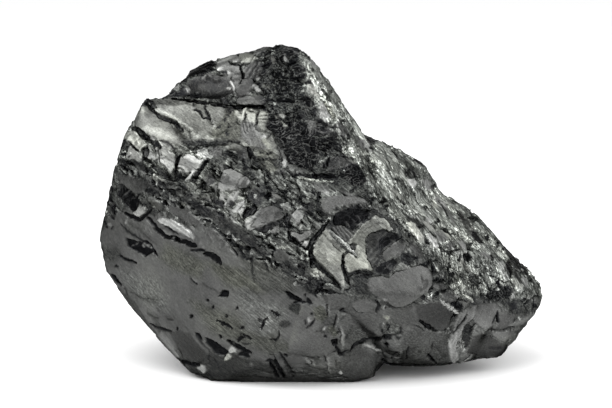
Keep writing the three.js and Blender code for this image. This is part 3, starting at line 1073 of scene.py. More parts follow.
# The eye: a pale plate and bright rings round a dark shell fracture, with a black crescent above.
EYE = (
    Patch("318,232 22,-24 20,-4 40,18 6,36 -8,8 -18,10 -30,4 -10,-18", SLATE, 0, calm=0.3),
    Patch("326,228 -10,14 -3,8 1,8 4,6 26,24 1,-7 -4,-17 5,-13 -10,-8", PALE, 0.35, calm=0.7, warmth=0.5,
          painted_shading=(0.35, 240)),
    Patch("325,266 16,-2 3,22 -13,-11", PALE, 0.35, warmth=0.3, ribs=(0.3, -15, 3.2), edge=2.0),
    Stroke("322,234 18,18", 1.6, SLATE, -0.1, 0.8, 0.7),
    Stroke("319,240 14,10", 1.2, STEEL, -0.1, 0.6, 0.6),
    Patch("331,239 11,10 -4,1 -6,-5", STEEL, warmth=0.5),
    Stroke("329,221 -16,19 -3,8 1,8 5,7 20,19 5,7", 4, SOOT, -0.5, 0.8),
    Patch("333,219 4,-6 15,-6 17,4 0,5 -16,15 -12,-6 -6,0", PITCH, -0.5, calm=0.95),
    Stroke("351,217 8,11", 1.2, STEEL),
    Stroke("346,221 7,10 | 357,215 5,8", 1.2, LEAD),
    Patch("331,227 9,-3 15,8 -3,8 -6,3 -13,-11", LEAD, -0.1, ribs=(0.9, 50, 3.2)),
    Patch("348,247 2,-7 12,-15 14,-10 8,3 6,6 3,7 -5,1 -6,-3 -12,5 -4,6 0,14 9,18 -7,-2", SILVER * 1.3, 0.35,
          calm=0.7, warmth=0.5, painted_shading=(0.3, -30)),
    Stroke("352,242 5,-6 13,-10 10,-3 9,4", 1.2, LEAD, -0.1, 0.6, 0.7),
    Stroke("350,236 12,-14", 1.6, STEEL, 0),
    Patch("349,246 4,-3 4,2 -1,5 -4,1", SLATE, -0.2),
    Stroke("328,230 18,15 10,11", 4, BRIGHT, 0.35, 0.8, 0.95, -0.3),
    Stroke("347,251 9,7", 1.2, SLATE, -0.1),
    Patch("344,255 5,-2 17,11 5,6 -15,0 -4,4 -4,-1 -5,-13", PALE, 0.35, warmth=0.5, painted_shading=(0.3, 200)),
    Stroke("357,261 6,1 6,4", 1.2, SILVER, 0),
    Stroke("344,254 -2,7 1,7 6,15", 3.2, SOOT, -0.5),
    Stroke("348,276 6,-4 6,-1 13,3", 3.2, SOOT, -0.3),
    Flecks("391,230 6,1 -45,25 -22,-37 -4,3", 1.6, BRIGHT),
    Patch("366,239 5,-6 6,-2 20,3 4,4 -12,6 -9,13 2,4 -10,7 -6,-14", SLATE, -0.2, calm=0.7,
          ribs=(0.45, -50, 5)),
    Patch("379,240 5,-4 7,1 0,5 -9,8 -4,-4", PITCH, -0.3),
    Patch("388,233 8,0 5,5 -5,3 -5,-3", PITCH, -0.2),
    Patch("384,251 11,-9 6,0 4,4 -2,7 -5,5 -14,1 -3,-3", STEEL, 0.2, calm=0.95),
    Stroke("376,266 14,-8 7,1", 1.6, SILVER, warmth=0.3),
    Patch("372,271 12,-10 7,-2 6,2 1,3 -9,11", PITCH * 1.4, -0.2),
    Stroke("384,263 8,9 | 392,263 -9,7", 1.2, LEAD),
    Patch("402,253 6,-1 6,5 0,7 -6,3 -6,-5", SOOT, -0.1, calm=0.3),
    Patch("411,243 7,3 5,8 -3,8 -10,-13", STEEL * 0.8),
)

# The big smooth face at the lower left: faint bands of grey, hairlines, pits and short cracks.
LOWER_FACE = (
    Patch("166,244 24,10 16,10 -6,14 -26,-8 -14,-12", STEEL * 0.88, 0, calm=0.5, edge=5.0, warmth=0.8),
    Patch("206,262 34,6 28,24 -18,2 -24,-10", LEAD * 1.25, 0, calm=0.5, edge=5.0, warmth=0.9),
    Patch("190,300 45,16 65,34 -30,4 -58,-22", LEAD * 1.15, 0, calm=0.5, edge=7.0, warmth=0.7),
    Patch("120,268 40,12 12,32 -22,-4 -26,-22", STEEL * 1.1, 0, calm=0.5, edge=7.0),
    Patch("236,290 12,-3 14,12 20,5 8,8 -8,18 -20,6 -16,-6", STEEL * 1.15, 0, calm=0.5, edge=5.0),
    Patch("200,228 14,0 12,12 8,15 -6,7 -22,-19", STEEL * 1.0, edge=3.0),
    Patch("240,258 22,4 28,14 10,12 -12,8 -22,-6 -16,-14", LEAD, 0, calm=0.5, edge=4.0, warmth=0.3),
    Stroke("129,291 15,7.5 16,1.5", 1.6, SLATE, -0.1, 0.6, 0.8),
    Stroke("143,300 16,3.5", 1.2, LEAD, -0.1, 0.6, 0.7),
    Stroke("190,278 8,7", 2, PITCH, -0.1, lip_highlight=SILVER, highlight_side=-1),
    Stroke("202,283 19,11", 1.6, SLATE, -0.1, 0.8, 0.8),
    Flecks("207,300 30,8 5,20 -22,8 6,-20 34,4 -47,-13 -22,9 95,40 -109,-27", 1.6, PITCH, -0.3),
    Stroke("209,301 8,4", 1.2, LEAD, -0.1),
    Stroke("111,274 10,12 | 217,320 15,8.5 | 195,333 7,7", 3.2, PITCH, -0.3),
    Stroke("226,315 12,7", 4, LEAD, 0, 2.0, 0.7),
    Stroke("268,317 -4,4 -3,8", 2.6, PITCH, -0.3),
    Stroke("270,311 11,4", 2.6, PITCH, -0.2),
    Stroke("274,313 5,4.5 | 279,331 0,5 -3,3.5 -5,-0.5 | 239,333 12,5.5", 2, PITCH, -0.2),
    Flecks("269,318 -2,-3 4,6 -5,1", 1.6, PALE),
    Patch("278,324 6,-4 7,1 -1,5 -8,2", SLATE, -0.1, ribs=(0.4, -30, 3)),
    Stroke("240,279 9,7 14,15", 2.6, LEAD * 0.75, -0.1, 1.5, 0.75),
    Stroke("244,268 13,13", 1.6, LEAD * 0.7, -0.1, 1.0, 0.7),
    Stroke("262,286 6,10", 2.6, LEAD * 0.7, 0, 1.5, 0.6),
    Stroke("220,262 2,10 8,11 4,9", 1.6, LEAD * 0.8, -0.1, 1.0, 0.6),
    Patch("237,340 3,-4 4,2 -6,4", PITCH, -0.3),
    Stroke("241,343 5,1.5 5,-1.5", 1.6, SOOT, -0.1),
    Stroke("228,341 15,9 8,3", 4, PITCH, -0.5),
    Stroke("239,355 5,-1 5,3", 5, PITCH, -0.3),
    Patch("222,290 7,1 -1,6 -9,0 | 205,338 5,1 18,12 0,5 -13,-2 -9,-11", PITCH, -0.5),
    Stroke("124,288 3,7 | 147,313 6,4 6,1.5 | 167,318.5 6,1.5 | 196,337 16,17", 2, SLATE, -0.1),
    Patch("228,350 3,-4 5,2 0,4 -6,1", BRIGHT, 0.35),
    Patch("226,353 4,0 2,4 -4,4 -4,-1", BRIGHT, 0.35, warmth=0.5),
    Patch("197,368 3,-4 5,1 3,4 -4,5", BRIGHT, 0.2),
    Patch("169,332 11,-2 9,3 15,17 4,8 -11,5 -13,-4", LEAD * 0.8, calm=0.95, painted_shading=(0.35, 180)),
    Stroke("150,324 7,4 14,3", 3.2, SOOT, -0.3),
    Patch("161,331 4,3 15,24 -5,-1 -17,-20", SILVER, 0, calm=0.95, painted_shading=(0.6, 70), edge=1.0),
    Stroke("181,361 9,3 10,1", 4, PITCH, -0.2),
    Flecks("212,368 5,4 -8,-6 24,-22 18,20", 1.6, STEEL),
    Patch("205,366 25,-4 30,2 2,13 -22,3 -28,-1", SLATE * 0.8, 0, calm=0.7, edge=3.0),
    # Painted shadow: a dark line along the foot where it rests on the floor.
    Stroke("190,377 25,2 115,3 35,-1", 6, SLATE, -0.1, 1.5, 0.6),
    Stroke("267,361 4,0 7,17", 4, PITCH, -0.5),
    Stroke("275,359 9,20", 3.2, PITCH, -0.5),
    Stroke("279,353 12,18 2,7", 2.6, SOOT, -0.3),
    Stroke("270,353 5,0 12,21", 3.2, STEEL * 0.85, 0.35, 1.0, 0.7),
    Stroke("272,362 9,16", 1.6, LEAD, 0.2, 0.8, 0.8),
)

# The middle of the foot and the low right side, smooth panels parted by cracks and folds.
LOW_RIGHT = (
    Patch("301,304 4,1 0,11 4,14 25,6 4,14 -18,7 -20,-1 -13,-4", STEEL * 0.9, calm=0.95,
          painted_shading=(0.3, 200)),
    Patch("301,304 3,1 -1,13 -6,20 -7,10 -1,-6", STEEL * 1.25, calm=0.95, warmth=0.3, edge=1.5),
    Patch("285,291 17,8 -4,2 -9,-3 | 380,339 4,-4 7,0 0,5 -7,1 | 331,340 6,-1 1,5 -4,2", PITCH, -0.5),
    Stroke("293,303 6,-2 7,2 | 335,343 5,11 4,2", 3.2, PITCH, -0.3),
    Patch("306,297 4,2 2,5 -3,1 -3,-3 | 383,345 3,-3 3,3 -2,3", PITCH, -0.3),
    Patch("290,304 9,-1 2,5 -3,7 -10,-7", SLATE, -0.1, calm=0.3),
    Patch("303,287 5,-8 6,-3 8,7 3,6 -7,6 -9,-2", SOOT, 0, ribs=(0.9, -45, 2.8), calm=0.5),
    Stroke("315,294 10,-12", 4, PITCH, -0.3),
    Flecks("309,319.5 16,8.5 19,-14 -49,-31 48,23", 1.6, BRIGHT),
    Stroke("305,320 1,4", 2.6, SOOT, -0.1),
    Stroke("315,319 -4,6 -5,3.5 | 348,350 -10,5", 2, PITCH, -0.2),
    Flecks("312,314 -7,-19 41,-5 -21,46 17,-26", 1.6, PITCH, -0.2),
    Patch("314,308 9,-2 5,10 -6,6 -7,-4 | 327,328 7,-2 4,8 -5,3", LEAD, 0, calm=0.3, warmth=0.8),
    Stroke("351,331 -6,8 | 397,352 -6,8", 2, SOOT, -0.2),
    Stroke("339,310 8,3.5", 1.6, PITCH, -0.1, lip_highlight=SILVER, highlight_side=1),
    Patch("319,296 11,-3 15,2 5,8 -4,6 -24,-5", LEAD * 1.2, edge=1.5),
    Patch("352,302 6,-3 10,0 11,6 -13,8 -8,-1 -6,-5", STEEL, 0.2, calm=0.95, painted_shading=(0.3, 180)),
    Patch("352,313 14,0 12,-3 2,15 -8,7 -22,-10", LEAD * 1.15, edge=1.5),
    Patch("350,324 24,10 -8,6 -12,3 -8,-7", LEAD * 0.9, 0, calm=0.5, edge=1.5),
    Patch("350,284 3,-6 8,-3 8,3 1,10 -7,9 -9,-4", SLATE, 0, calm=0.3),
    Patch("366,284 5,-7 9,-2 9,3 6,-6 25,-7 8,3 5,8 -1,9 -4,7 -24,15 -10,0 -24,-15", STEEL, 0.35, calm=0.95,
          painted_shading=(0.15, 200)),
    Stroke("386,305 10,4 9,-0.5 19,-9.5", 3.2, SLATE, -0.2, 1.3, 0.8),
    Stroke("419,270 4,24", 1.6, STEEL, -0.1, 1.0, 0.6),
    Stroke("376,300 3,6 -3,6", 3.2, SOOT, -0.3),
    Flecks("384,300 0,24 41,-22", 1.6, PALE),
    Flecks("386,317 2,1", 2, PALE, 0.1, 0.9),
    Patch("381,329 5,-7 10,0 6,6 -2,6 -17,0", LEAD, 0, calm=0.3),
    Stroke("389,336 12,-3 0,-8", 2.6, SOOT, -0.2),
    Flecks("382,331 6,-3 10,10", 2, PITCH),
    Stroke("351,351 4,-6 7,-4 22,-3", 4, SOOT, -0.5),
    Stroke("363,345 11,2", 3.2, PALE, 0.2, warmth=0.2),
    Stroke("372,348 13,6", 2, PALE, 0.2),
    Stroke("372,343 7,7", 2, PITCH, -0.2),
    Patch("374,342 7,-2 3,5 -1,6 -5,-3", STEEL * 0.9),
    Patch("344,354 12,-5 16,3 10,6 -4,14 -14,8 -16,0 -8,-14", SLATE, 0, edge=2.5, painted_shading=(0.4, -90)),
    Patch("408,306 30,-4 14,10 -2,14 -9,5 -11,-4 -10,-7 -8,-2", SLATE * 1.3, calm=0.95, edge=1.5,
          painted_shading=(0.3, 180)),
    Patch("388,309 14,1 10,-2 6,12 -6,12 -8,2 -4,-10 -10,-4", LEAD * 1.05, 0, edge=2.0),
    Stroke("413,304 1,8 4,8", 2.6, LEAD * 1.4, 0.1, 1.2, 0.8),
    Stroke("420,321 11,8 7,2.5", 3.2, PITCH * 1.3, -0.5),
    Stroke("438,331 15,0", 1.6, SLATE, -0.1),
    Patch("402,334 14,-4 33,4 0,33 -47,-1", SLATE * 1.3, 0, calm=0.7, edge=2.0),
    Stroke("428,354 10,12", 2.6, PITCH, -0.3),
    Stroke("409,347 -3,13", 2.6, SOOT, -0.2),
    Stroke("433,343 -1,7", 1.6, SOOT, -0.2),
    Stroke("392,364 18,2 38,1", 4, SOOT, -0.1, 1.2, 0.8),
    Patch("460,313 16,-9 4,7 -15,14 -8,16 -1,9 3,9 -5,5 -4,-5 -2,-11 8,-29", SILVER, 0.35, calm=0.95,
          ribs=(0.35, 112, 4), painted_shading=(0.4, 70)),
    Stroke("467,315 -15,19", 2, SOOT, -0.3),
    Stroke("449,340 2,21", 2, PALE),
    Patch("464,327 6,-3 3,6 -5,17 -5,4 -2,-8", SOOT, -0.3, calm=0.5),
    Stroke("457,343 3,-5 3,5 1,7 | 457,350 3,-5 8,12", 2, SILVER),
    Patch("476,306 10,-3 11,0 4,7 -9,17 -10,1 -8,-6", STEEL * 1.15, 0.2, calm=0.95, edge=1.2, painted_shading=(0.2, 0)),
    Stroke("497,311 2,12", 3.2, PITCH, -0.3),
    Stroke("492,324 4,-9", 2, SOOT, -0.2),
    Patch("501,312 7,-3 8,5 -2,8 -9,8 -9,-1 4,-8", LEAD * 1.2, calm=0.95),
    Patch("487,328 10,4 22,-3 -13,14 -16,-9", STEEL, calm=0.95, painted_shading=(0.3, 200)),
    Stroke("489,329 11,2 8,-1.5 14,-7.5", 2.6, SLATE, -0.3),
    Patch("508,325 29,-13 -4,6 -17,9", SILVER),
    Patch("472,338 8,-5 7,1 21,12 -8,13 -14,-1 -19,-6", SLATE * 0.85, calm=0.95, painted_shading=(0.4, 200)),
    Stroke("488,348 14,0", 3.2, SOOT, -0.1),
    Stroke("487,355 13,3", 1.6, LEAD),
    Patch("500,300 14,-2 16,2 7,6 -9,7 -14,1 -10,-5", SLATE, 0, calm=0.3),
    Patch("508,302 7,-1 3,8 -6,2", SOOT, -0.1),
)

FEATURES = (*SHOULDER, *RIBBED_FACE, *PALE_STEPS, *CROWN, *SLOPE, *LEFT_RIM, *MIDDLE, *LOWER_FACE,
            *LOW_RIGHT, *EYE)

# Painted light and shade: stretches whose brightness is evened out as a whole.
PAINTED_LIGHT = (
    PaintedLight("170,95 12,-20 23,-13 10,16 47,-3 4,25 -31,4", 0.75),
    PaintedLight("211,72 6,-12 15,-6 6,8 -14,14 | 306,66 12,2 16,24 -16,2", 1.4, 3.0),
    PaintedLight("185,101 100,14 0,50 -35,-15 -45,-10 -15,-10 | 262,50 33,-5 17,35 8,45 25,35 -25,20 -35,-15 "
          "-20,-40 | 250,62 46,-2 6,55 -27,-1 -23,-19", 0.6),
    PaintedLight("166,108 20,2 14,18 -8,6 -20,-10", 0.7, 4.0),
    PaintedLight("248,126 37,2 5,24 -38,0 | 208,168 42,-2 6,22 -41,4 | 128,168 40,-2 4,18 -22,6 -20,-4 | 308,128 "
          "22,2 20,28 0,24 -22,-2 -16,-30", 0.75, 4.0),
    PaintedLight("200,140 85,20 15,25 -15,30 -40,7 -30,-22 -10,-30", 0.55),
    PaintedLight("134,100 31,8 13,14 -10,20 -8,33 -30,0 -12,-25", 1.35),
    PaintedLight("106,172 14,0 30,22 40,18 35,8 5,12 -40,0 -78,-37", 1.3, 5.0),
    PaintedLight("165,178 20,-4 30,11 0,21 -20,-1", 0.45),
    PaintedLight("286,168 26,4 0,16 -22,-2", 1.4, 4.0),
    PaintedLight("306,236 24,-10 15,24 0,35 -23,-13", 0.7),
    PaintedLight("300,50 45,55 27,28 68,52 95,90 -30,-7 -65,-30 -45,-33 -30,-45 -60,-70", 1.6, 10.0),
    PaintedLight("345,126 19,6 36,26 -12,14 -30,-22", 1.5, 4.0),
    PaintedLight("368,188 24,4 3,22 -23,2", 0.75, 5.0),
    PaintedLight("394,226 18,2 40,24 -12,14 -28,-4", 0.65, 4.0),
    PaintedLight("345,268 45,4 35,-10 5,28 -30,16 -45,-8", 0.8, 4.0),
    PaintedLight("430,250 25,20 25,12 18,13 -8,15 -40,0 -20,-25", 0.42, 6.0),
    PaintedLight("395,170 30,10 45,55 -25,10 -40,-33", 1.35, 8.0),
    PaintedLight("98,210 20,-5 7,25 -9,42 -18,-10", 0.72),
    PaintedLight("245,362 95,-4 35,-6 5,20 -40,20 -95,0", 2.2, 10.0),
    PaintedLight("118,300 32,8 15,22 31,34 -10,14 -21,-28", 1.35, 5.0),
    PaintedLight("352,322 28,12 70,-9 30,-7 32,17 -12,27 -50,12 -66,2", 1.7, 8.0),
)


@dataclass(frozen=True)
class Scatter(Feature):
    """Plates, cracks, painted glints and black pits strewn over a zone by chance, most of them along one
    direction.

    Along is in degrees, from 0 to the right to 90 downwards, and the size of a plate is in points
    of the picture. Tones are the reflectances that the plates are drawn from.
    """

    zone: str
    seed: int
    along: float
    plates: int = 24
    cracks: int = 18
    glints_and_pits: int = 10
    size: float = 11.0
    tones: tuple[float, ...] = (PITCH, SOOT, SLATE, LEAD, LEAD, STEEL, SILVER)

    PLATE_SWAY = 18
    PLATE_CORNERS = 8
    PLATE_OVAL = (1.5, 0.62)
    RIBBED_SHARE = 0.3
    CRACK_SWAY = 22
    CRACK_BEND = 0.22

    def carve(self, surface: Surface) -> None:
        """Draws the marks by chance and puts each on the surface.

        Args:
            surface: what is worked on.
        """
        chance = np.random.default_rng(self.seed)
        for place in self.places(chance, self.plates):
            self.plate(chance, place).carve(surface)
        for place in self.places(chance, self.cracks):
            self.crack(chance, place).carve(surface)
        # Painted glints: bright flecks where single flakes would catch the light; then black pits.
        Flecks(self.places(chance, self.glints_and_pits), 1.4, BRIGHT).carve(surface)
        Flecks(self.places(chance, self.glints_and_pits), 1.7, PITCH, -0.2).carve(surface)

    def places(self, chance: np.random.Generator, count: int) -> Path:
        """Picks places inside the zone.

        Args:
            chance: where the random numbers come from.
            count: the most places to pick.

        Returns:
            The places in the picture.
        """
        corners = shapes(OUTLINES[self.zone])[0]
        drawn = chance.uniform(corners.min(axis=0), corners.max(axis=0), (count * 8, 2))
        inside = depth_inside(drawn[:, 0], drawn[:, 1], corners) > 0
        return tuple((float(x), float(y)) for x, y in drawn[inside][:count])

    def plate(self, chance: np.random.Generator, place: Point) -> Patch:
        """Shapes one plate: a rough oval with corners, drawn out along the direction.

        Args:
            chance: where the random numbers come from.
            place: the plate's middle.

        Returns:
            The plate.
        """
        turn = math.radians(self.along + chance.normal(0, self.PLATE_SWAY))
        size = self.size * chance.uniform(0.35, 1.2)
        outline = []
        long, short = self.PLATE_OVAL
        for angle in np.sort(chance.uniform(0, 2 * math.pi, self.PLATE_CORNERS)):
            reach = size * chance.uniform(0.75, 1.1)
            u, v = long * reach * math.cos(angle), short * reach * math.sin(angle)
            outline.append((place[0] + u * math.cos(turn) - v * math.sin(turn),
                            place[1] + u * math.sin(turn) + v * math.cos(turn)))
        tone = float(chance.choice(self.tones))
        ribs = 0.5 if chance.random() < self.RIBBED_SHARE else 0.0
        return Patch(tuple(outline), tone, chance.uniform(-0.1, 0.25) if tone > SLATE else -0.25,
                     calm=chance.uniform(0.5, 0.95), warmth=max(0.0, chance.normal(0, 0.3)),
                     painted_shading=(chance.uniform(0.2, 0.7), chance.uniform(0, 360)),
                     ribs=(ribs, chance.uniform(0, 180), 3.5))

    def crack(self, chance: np.random.Generator, place: Point) -> Stroke:
        """Draws one crack, with a painted highlight along one edge of most of them.

        Args:
            chance: where the random numbers come from.
            place: where the crack starts.

        Returns:
            The crack.
        """
        heading = math.radians(self.along + chance.normal(0, self.CRACK_SWAY))
        path = [place]
        for _ in range(int(chance.integers(1, 5))):
            heading += chance.normal(0, self.CRACK_BEND)
            step = self.size * chance.uniform(0.3, 1.0)
            path.append((path[-1][0] + step * math.cos(heading), path[-1][1] + step * math.sin(heading)))
        lip_highlight = float(chance.choice((0.0, STEEL, SILVER, PALE)))
        tone = float(chance.choice((PITCH, PITCH, SOOT, SLATE)))
        return Stroke(tuple(path), self.size * chance.uniform(0.1, 0.3), tone, -0.3,
                      soft=chance.uniform(0.4, 1.0), lip_highlight=lip_highlight, highlight_side=int(chance.choice((-1, 1))))


# Fine breaks along the grain, below the marks that are placed one by one.
FRONT_BITS = (
    Scatter("laminated_band", 41, 38, 6, 60, 16, 10.0, (SOOT, SLATE, STEEL)),
    Scatter("left_rim", 42, 55, 6, 24, 8, 8.0, (SOOT, LEAD, STEEL)),
    Scatter("broken_middle", 43, 30, 18, 34, 14, 6.5, (SOOT, SLATE, STEEL, SILVER, PALE)),
    Scatter("pale_steps", 44, 62, 14, 36, 14, 6.5, (SOOT, SILVER, PALE, BRIGHT)),
    Scatter("under_crest", 45, 20, 10, 18, 8, 6.0, (SOOT, SLATE, STEEL, SILVER)),
    Scatter("lower_middle", 46, 60, 8, 24, 6, 7.0, (SLATE, LEAD, STEEL)),
    Scatter("under_tip", 47, -20, 6, 14, 6, 7.0, (SLATE, LEAD, STEEL)),
    Scatter("grained_slope", 48, 50, 26, 40, 20, 8.0, (SOOT, LEAD, SILVER, PALE, BRIGHT)),
)

# The sides that the picture doesn't show carry the same kinds of break as the front.
BACK_ZONES = (
    Zone("back_face", "290,228 188,-40 22,52 -25,60 -35,50 -60,0 -60,-30 -35,-50", 0.105, 0.14, 0.08, 0.03,
         busy=0.1, cracks=0.1, painted_glints=0.05, scratches=0.05),
    Zone("back_beds", "250,150 100,-32 120,22 14,32 -104,20 -118,30 -57,-7 27,-35", 0.08, 0.6, 0.25, 0.12,
         busy=0.3, cracks=0.4, scratches=0.3),
    Zone("back_crown", "300,55 100,15 45,22 30,48 -190,-30", 0.04, 0.8, 0.35, 0.15, scratches=0.7),
    Zone("back_wing", "232,185 -154,90 17,47 45,34 75,16 13,-72 17,-70", 0.13, 0.75, 0.35, 0.18, busy=0.6,
         cracks=0.4, painted_glints=0.6, scratches=0.3),
    Zone("back_foot", "225,335 105,10 110,5 -20,38 -195,0", 0.055, 0.35, 0.2, 0.08, cracks=0.3,
         scratches=0.1),
)
BACK_FEATURES = (
    Scatter("back_beds", 1, -14, 40, 26, 18, 12.0, (SOOT, LEAD, STEEL, SILVER, PALE, BRIGHT)),
    Scatter("back_crown", 2, 20, 30, 18, 12, 9.0, (PITCH, PITCH, SOOT, LEAD, SILVER, PALE)),
    Scatter("back_wing", 3, -35, 44, 34, 24, 10.0, (SOOT, SLATE, STEEL, SILVER, PALE, BRIGHT)),
    Scatter("back_face", 4, 35, 10, 22, 8, 9.0, (LEAD, STEEL, STEEL)),
    Scatter("back_foot", 5, 5, 14, 12, 6, 12.0, (SOOT, SLATE, LEAD)),
    Shell((393, 293), (44, 38), 0, 0.15, (440, 262), 11, 0.07, STEEL, 0.3, 0.1, 0.3),
    Shell((376, 142), (33, 20), -8, 0.15, (345, 130), 7, 0.05, SLATE, 0.3, roughness=0.3),
    Shell((215, 297), (24, 32), 8, 0.15, (205, 262), 8, 0.06, LEAD, 0.3, roughness=0.3),
    Shell((141, 309), (24, 16), -20, 0.15, (120, 322), 8, 0.05, STEEL, 0.25, 0.2, 0.3),
    Stroke("352,278 4,-12 12,-10 22,-6", 2, SOOT, -0.5, lip_highlight=PALE, highlight_side=1),
    Stroke("354,312 8,13 18,7 16,2", 1.6, SOOT, -0.3, lip_highlight=SILVER, highlight_side=-1),
    Stroke("412,330 12,-8 14,-4", 1.6, SOOT, -0.3),
    Patch("350,262 10,-12 14,-6 6,5 -14,7 -10,12", SILVER, 0.2, calm=0.5, painted_shading=(0.6, 200)),
    Patch("424,320 16,-14 6,6 -10,16 -16,8", STEEL, calm=0.5, painted_shading=(0.4, 60)),
    Stroke("482,169 -102,23 -116,30", 4, PITCH, -0.5),
    Stroke("478,162 -208,51", 3.2, SILVER, 0.1, 1.5, 0.6),
    Stroke("298,238 10,12 4,12 10,8 4,18 10,10 2,12", 2.6, PITCH, -0.5, lip_highlight=SILVER, highlight_side=1),
    Patch("300,236 22,-4 18,8 6,16 -10,12 -18,-12", SILVER, 0.2, calm=0.5, warmth=0.5, painted_shading=(0.9, 30)),
    Patch("412,198 54,-10 4,12 -18,5 -12,11 -16,-8", SILVER, 0.2, calm=0.5, warmth=0.3, ribs=(0.2, -12, 5),
          painted_shading=(0.8, 180)),
)
LEFT_ZONES = (
    Zone("left_side", "212,92 50,-40 56,56 12,62 -4,62 4,68 -45,30 -60,0 -40,-40 -15,-125", 0.075, 0.5, 0.3,
         0.12, busy=0.35, cracks=0.4, scratches=0.3),
    Zone("left_foot", "185,300 45,25 100,-20 22,30 8,50 -145,0 -25,-45", 0.05, 0.25, 0.2, 0.08, busy=0.2,
         cracks=0.2, scratches=0.1),
)
LEFT_FEATURES = (
    Scatter("left_side", 11, 78, 44, 34, 20, 12.0, (SOOT, SLATE, LEAD, STEEL, SILVER, PALE)),
    Scatter("left_foot", 12, 20, 16, 14, 8, 11.0, (SOOT, SLATE, LEAD, STEEL)),
    Shell((279, 228), (27, 35), 0, 0.15, (290, 190), 8, 0.06, LEAD, 0.3, roughness=0.3),
    Stroke("252,215 4,-15 10,-8 16,-2", 3.2, PITCH, -0.5, lip_highlight=PALE, highlight_side=-1),
    Stroke("300,120 -8,30 16,55", 3.2, PITCH, -0.5, lip_highlight=SILVER),
)
RIGHT_ZONES = (
    Zone("right_end", "222,306 116,-41 7,53 39,27 -54,26 -87,-2 -43,-4", 0.07, 0.35, 0.2, 0.1, busy=0.3,
         cracks=0.3, scratches=0.2),
)
RIGHT_FEATURES = (
    Scatter("right_end", 21, -20, 22, 20, 10, 10.0, (SOOT, SLATE, LEAD, STEEL, SILVER)),
    Shell((291, 319), (23, 15), -25, 0.12, (270, 330), 6, 0.04, LEAD, 0.2, roughness=0.3),
)
LOW_ZONES = (
    Zone("underside", "104,266 70,-70 142,-54 72,-75 98,66 54,11 -10,88 -27,54 -67,44 -73,20 -85,10 -74,-20 "
         "-59,-23", 0.05, 0.3, 0.2, 0.08, busy=0.3, cracks=0.3, scratches=0.15),
)
LOW_FEATURES = (
    Scatter("underside", 31, -25, 44, 40, 16, 13.0, (SOOT, SLATE, LEAD, LEAD, STEEL)),
)


@dataclass(frozen=True)
class Side:
    """What is seen from one side: how each stretch broke, and the features on it."""

    view: Viewpoint
    zones: tuple[Zone, ...]
    features: tuple[Feature, ...]


SIDES = (
    Side(LOW_VIEW, LOW_ZONES, LOW_FEATURES),
    Side(RIGHT_VIEW, RIGHT_ZONES, RIGHT_FEATURES),
    Side(LEFT_VIEW, LEFT_ZONES, LEFT_FEATURES),
    Side(BACK_VIEW, BACK_ZONES, BACK_FEATURES),
    Side(VIEW, ZONES, (*FRONT_BITS, *FEATURES, *PAINTED_LIGHT)),
)
OUTLINES = {zone.name: zone.outline for side in SIDES for zone in side.zones}


